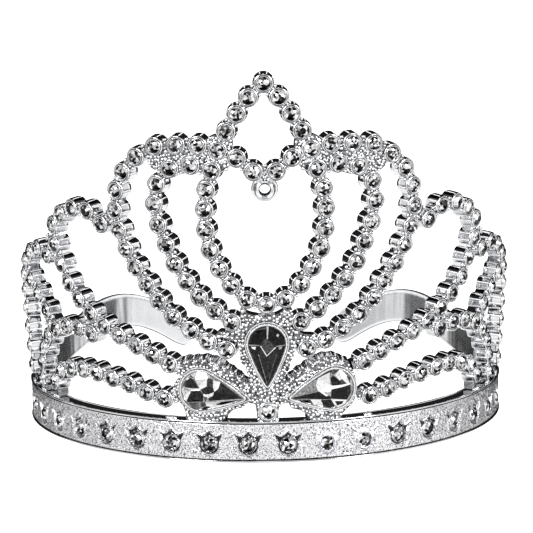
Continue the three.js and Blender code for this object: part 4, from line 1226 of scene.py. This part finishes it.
for side, tag in ((1, "right"), (-1, "left")):
    for i in range(9):
        a = side * (i + 0.5) * BAND_STONE_PITCH / RING_R
        al = np.array([math.cos(a), math.sin(a), 0.0])
        n = np.array([math.sin(a), -math.cos(a), 0.0])
        basis = np.stack([al, np.array([0, 0, 1.0]), n], 1)
        p = np.array([RING_R * math.sin(a), -RING_R * math.cos(a) + RING_Y, BAND_STONE_Z])
        st = Build()
        add_stone(st, p, basis, 2.02, -0.22, 1.0, rng.uniform(0, math.pi / 4))
        nm = "band_stone_%s_%d" % (tag, i + 1)
        ob = st.make(nm + "_cut", [M_STONE], sharp=None, use_tone=True)
        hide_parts(nm)
        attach(ob, "root")

# two low lumps of solder on the band's upper edge, beside the settings
for az, wd in ((-22.4, 2.1), (23.3, 1.5)):
    a = math.radians(az)
    lump = Build()
    basis = np.array([[math.cos(a), math.sin(a), 0], [-math.sin(a), math.cos(a), 0], [0, 0, 1.0]]).T
    lump.add(placed(GR_V * [wd, 0.95, 0.85], [71.2 * math.sin(a), -71.2 * math.cos(a) + RING_Y, 11.7], basis), GR_F, 0, True)
    ob = lump.make("solder_lump_%s" % ("left" if az < 0 else "right"), [M_CAST], sharp=60)
    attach(ob, "root")

# ------------------------------------------------------------------ rear arms
ARM_EDGES = [(0.0, 0.0, 11.7), (8, 1.2, 13.0), (16, 3.0, 14.2), (26, 5.6, 16.6), (36, 8.6, 19.6), (46, 11.8, 23.2), (54, 14.2, 25.6), (62, 15.3, 26.3),
             (69, 14.5, 25.3), (75, 12.3, 23.4), (80, 9.6, 21.4), (84, 7.1, 19.2), (87, 6.0, 17.2), (89, 6.6, 15.2), (90.2, 8.2, 13.4)]


def catmull(xs, ys, t):
    n = len(xs)
    m = [(ys[min(i + 1, n - 1)] - ys[max(i - 1, 0)]) / (xs[min(i + 1, n - 1)] - xs[max(i - 1, 0)]) for i in range(n)]
    i = min(max(int(np.searchsorted(xs, t)) - 1, 0), n - 2)
    h = xs[i + 1] - xs[i]
    u = (t - xs[i]) / h
    return ((2 * u ** 3 - 3 * u ** 2 + 1) * ys[i] + (u ** 3 - 2 * u ** 2 + u) * h * m[i] + (-2 * u ** 3 + 3 * u ** 2) * ys[i + 1] + (u ** 3 - u ** 2) * h * m[i + 1])


def arm(side, tag):
    xs = [e[0] for e in ARM_EDGES]
    lo = [e[1] for e in ARM_EDGES]
    hi = [e[2] for e in ARM_EDGES]
    ts = np.concatenate([np.linspace(0, 84, 70), np.linspace(84.6, 90.2, 16)])
    start = math.radians(88)
    half = 0.8
    # section across the arm: rounded rectangle, its outer face slightly crowned
    sec = []
    for k in range(7):
        u = k / 6
        sec.append((0.06 + 0.88 * u, 1.0, 0.16 * math.sin(math.pi * u)))
    section = [(0.0, -0.45), (0.0, 0.45)]
    rings = []
    for t in ts:
        a_, b_ = catmull(xs, lo, t), catmull(xs, hi, t)
        w = max(b_ - a_, 0.6)
        c = min(0.45, w * 0.2)
        pts = [(a_ + c, half + 0.0), ]
        prof = []
        for k in range(9):
            u = k / 8
            prof.append((a_ + c + (w - 2 * c) * u, half + 0.14 * math.sin(math.pi * u)))
        prof.append((b_ - c * 0.3, half - c * 0.3))
        prof.append((b_, half - c))
        prof.append((b_, -half + c))
        prof.append((b_ - c * 0.3, -half + c * 0.3))
        for k in range(9):
            u = 1 - k / 8
            prof.append((a_ + c + (w - 2 * c) * u, -half + 0.06 * math.sin(math.pi * u)))
        prof.append((a_ + c * 0.3, -half + c * 0.3))
        prof.append((a_, -half + c))
        prof.append((a_, half - c))
        prof.append((a_ + c * 0.3, half - c * 0.3))
        ang = side * (start + (0.3 + t) / RING_R if t > 0 else start - 1.6 / RING_R)
        ring = []
        for z, o in prof:
            r = RING_R - half - 0.2 + o
            ring.append((r * math.sin(ang), -r * math.cos(ang) + RING_Y, z))
        rings.append(ring)
    k = len(rings[0])
    v = np.array(rings).reshape(-1, 3)
    f = []
    for i in range(len(rings) - 1):
        for j in range(k):
            l = (j + 1) % k
            f.append((i * k + j, i * k + l, (i + 1) * k + l, (i + 1) * k + j))
    f.append(tuple(range(k))[::-1])
    f.append(tuple((len(rings) - 1) * k + j for j in range(k)))
    b = Build()
    b.add(v, fix_outward(v, f), 0, True)
    ob = b.make("rear_arm_%s_metal" % tag, [M_MIRROR], sharp=45)
    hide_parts("rear_arm_" + tag)
    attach(ob, "root")


arm(1, "right")
arm(-1, "left")

# ------------------------------------------------------------------ floor, light and camera
me = bpy.data.meshes.new("studio_floor")
f = 4.0
me.from_pydata([(-f, -f, -0.0004), (f, -f, -0.0004), (f, f, -0.0004), (-f, f, -0.0004)], [], [(0, 1, 2, 3)])
floor = bpy.data.objects.new("studio_floor", me)
bpy.context.scene.collection.objects.link(floor)
m, nt, nodes, links, bsdf = mat("pale_floor")
bsdf.inputs["Base Color"].default_value = (0.60, 0.60, 0.60, 1)
bsdf.inputs["Roughness"].default_value = 0.9
bsdf.inputs["Specular IOR Level"].default_value = 0.0
bsdf.inputs["Emission Color"].default_value = (1, 1, 1, 1)
bsdf.inputs["Emission Strength"].default_value = 0.97
me.materials.append(m)
floor.visible_glossy = False
floor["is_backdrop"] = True

# The studio: white light from the front and sides and from the floor ahead, dark card behind and overhead.
world = bpy.data.worlds.new("studio")
bpy.context.scene.world = world
world.use_nodes = True
nt = world.node_tree
nodes, links = nt.nodes, nt.links
bg = nodes["Background"]
coord = nodes.new("ShaderNodeTexCoord")
sep = nodes.new("ShaderNodeSeparateXYZ")
links.new(coord.outputs["Generated"], sep.inputs[0])


def ramp_of(socket, lo, hi, stops):
    r = nodes.new("ShaderNodeMapRange")
    r.inputs["From Min"].default_value = lo
    r.inputs["From Max"].default_value = hi
    links.new(socket, r.inputs["Value"])
    c = nodes.new("ShaderNodeValToRGB")
    while len(c.color_ramp.elements) < len(stops):
        c.color_ramp.elements.new(0.5)
    for e, (p, v) in zip(c.color_ramp.elements, stops):
        e.position = (p - lo) / (hi - lo)
        e.color = (v, v, v, 1)
    links.new(r.outputs["Result"], c.inputs["Fac"])
    return c.outputs["Color"]


def math_node(op, a, b):
    n = nodes.new("ShaderNodeMath")
    n.operation = op
    for k, x in enumerate((a, b)):
        if isinstance(x, (int, float)):
            n.inputs[k].default_value = x
        else:
            links.new(x, n.inputs[k])
    return n.outputs[0]


bearing = math_node("ARCTAN2", sep.outputs["X"], math_node("MULTIPLY", sep.outputs["Y"], -1.0))
rad = math.radians
front = ramp_of(bearing, -math.pi, math.pi, [(rad(a), v) for a, v in (
    (-180, 0.008), (-117, 0.015), (-114, 1.0), (-106, 0.98), (-100, 0.7), (-94, 0.7), (-87, 0.95), (-68, 1.0), (-60, 0.62), (-48, 0.58), (-40, 0.95),
    (-30, 0.66), (-22, 0.62), (-14, 0.88), (14, 0.88), (20, 0.55), (28, 0.55), (34, 1.0), (87, 1.0), (94, 0.7), (100, 0.7), (106, 0.98), (114, 1.0), (117, 0.015), (180, 0.008))])
height = ramp_of(sep.outputs["Z"], -1, 1, [(-1.0, 0.0), (-0.06, 0.0), (0.0, 1.0), (0.30, 1.0), (0.36, 0.75), (0.44, 0.75), (0.50, 1.0), (0.66, 0.95), (0.80, 0.12), (0.90, 0.02), (1.0, 0.015)])
under = ramp_of(sep.outputs["Z"], -1, 1, [(-1.0, 0.015), (-0.93, 0.02), (-0.80, 0.7), (-0.5, 1.0), (-0.34, 0.95), (-0.28, 0.02), (1.0, 0.0)])
low = math_node("MULTIPLY", ramp_of(sep.outputs["Z"], -1, 1, [(-0.40, 0.0), (-0.32, 1.0), (-0.04, 1.0), (0.02, 0.0), (1.0, 0.0)]),
                ramp_of(bearing, -math.pi, math.pi, [(rad(a), v) for a, v in ((-180, 0.015), (-117, 0.04), (-110, 0.8), (-103, 0.85), (-100, 0.06), (-82, 0.06), (-76, 0.8), (-72, 0.9), (-66, 0.5), (-38, 0.5), (-30, 0.6), (-20, 0.6), (-10, 0.76),
                    (10, 0.76), (22, 0.65), (34, 0.95), (66, 0.85), (76, 1.0), (81, 0.06), (101, 0.06), (105, 0.85), (110, 0.8), (117, 0.04), (180, 0.015))]))
light = math_node("MAXIMUM", math_node("MAXIMUM", math_node("MULTIPLY", front, height), under), low)
side = math_node("ABSOLUTE", sep.outputs["X"], 0.0)
strip = math_node("MULTIPLY", ramp_of(sep.outputs["Z"], -1, 1, [(-1.0, 0.0), (0.76, 0.0), (0.80, 0.95), (1.0, 0.95)]), ramp_of(side, -1, 1, [(-1.0, 0.95), (0.05, 0.95), (0.07, 0.0)]))
light = math_node("MAXIMUM", light, strip)
links.new(light, bg.inputs["Color"])
bg.inputs["Strength"].default_value = 1.30


def softbox(name, loc, aim, size, power):
    ld = bpy.data.lights.new(name, "AREA")
    ld.shape = "RECTANGLE"
    ld.size, ld.size_y = size
    ld.energy = power
    ob = bpy.data.objects.new(name, ld)
    bpy.context.scene.collection.objects.link(ob)
    ob.location = loc
    ob.rotation_mode = "QUATERNION"
    ob.rotation_quaternion = (Vector(aim) - Vector(loc)).to_track_quat("-Z", "Y")
    return ob


softbox("softbox_left", (-0.55, -0.75, 0.45), (0, 0, 0.05), (0.35, 0.5), 5.0)
softbox("softbox_right", (0.60, -0.65, 0.40), (0, 0, 0.05), (0.3, 0.45), 4.0)
top = softbox("softbox_top", (0.0, -0.1, 1.2), (0, 0, 0), (1.2, 1.2), 14.0)
top.visible_glossy = False

scene = bpy.context.scene
scene.view_settings.view_transform = "Standard"
scene.view_settings.look = "None"
scene.view_settings.exposure = 0.0
scene.view_settings.gamma = 1.0

cam_data = bpy.data.cameras.new("camera")
cam = bpy.data.objects.new("camera", cam_data)
scene.collection.objects.link(cam)
cam_data.sensor_width = 36.0
cam_data.lens = 148.6
cam_data.clip_start, cam_data.clip_end = 0.05, 20.0
dist, pitch, roll = 0.67796, math.radians(9.444), math.radians(0.835)
yaw = math.radians(-0.55)
turn = Matrix.Rotation(yaw, 4, "Z")
target = turn @ Vector((0.0008998, 0.0, 0.0434839)) + Vector((0, RING_Y * MM, 0))
back = turn @ Vector((0, -math.cos(pitch), math.sin(pitch)))
cam.location = target + back * dist
cam.rotation_mode = "QUATERNION"
aim = (-back).to_track_quat("-Z", "Y")
cam.rotation_quaternion = aim @ Matrix.Rotation(-roll, 4, "Z").to_quaternion()
scene.camera = cam

bpy.context.view_layer.update()
lo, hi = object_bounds()
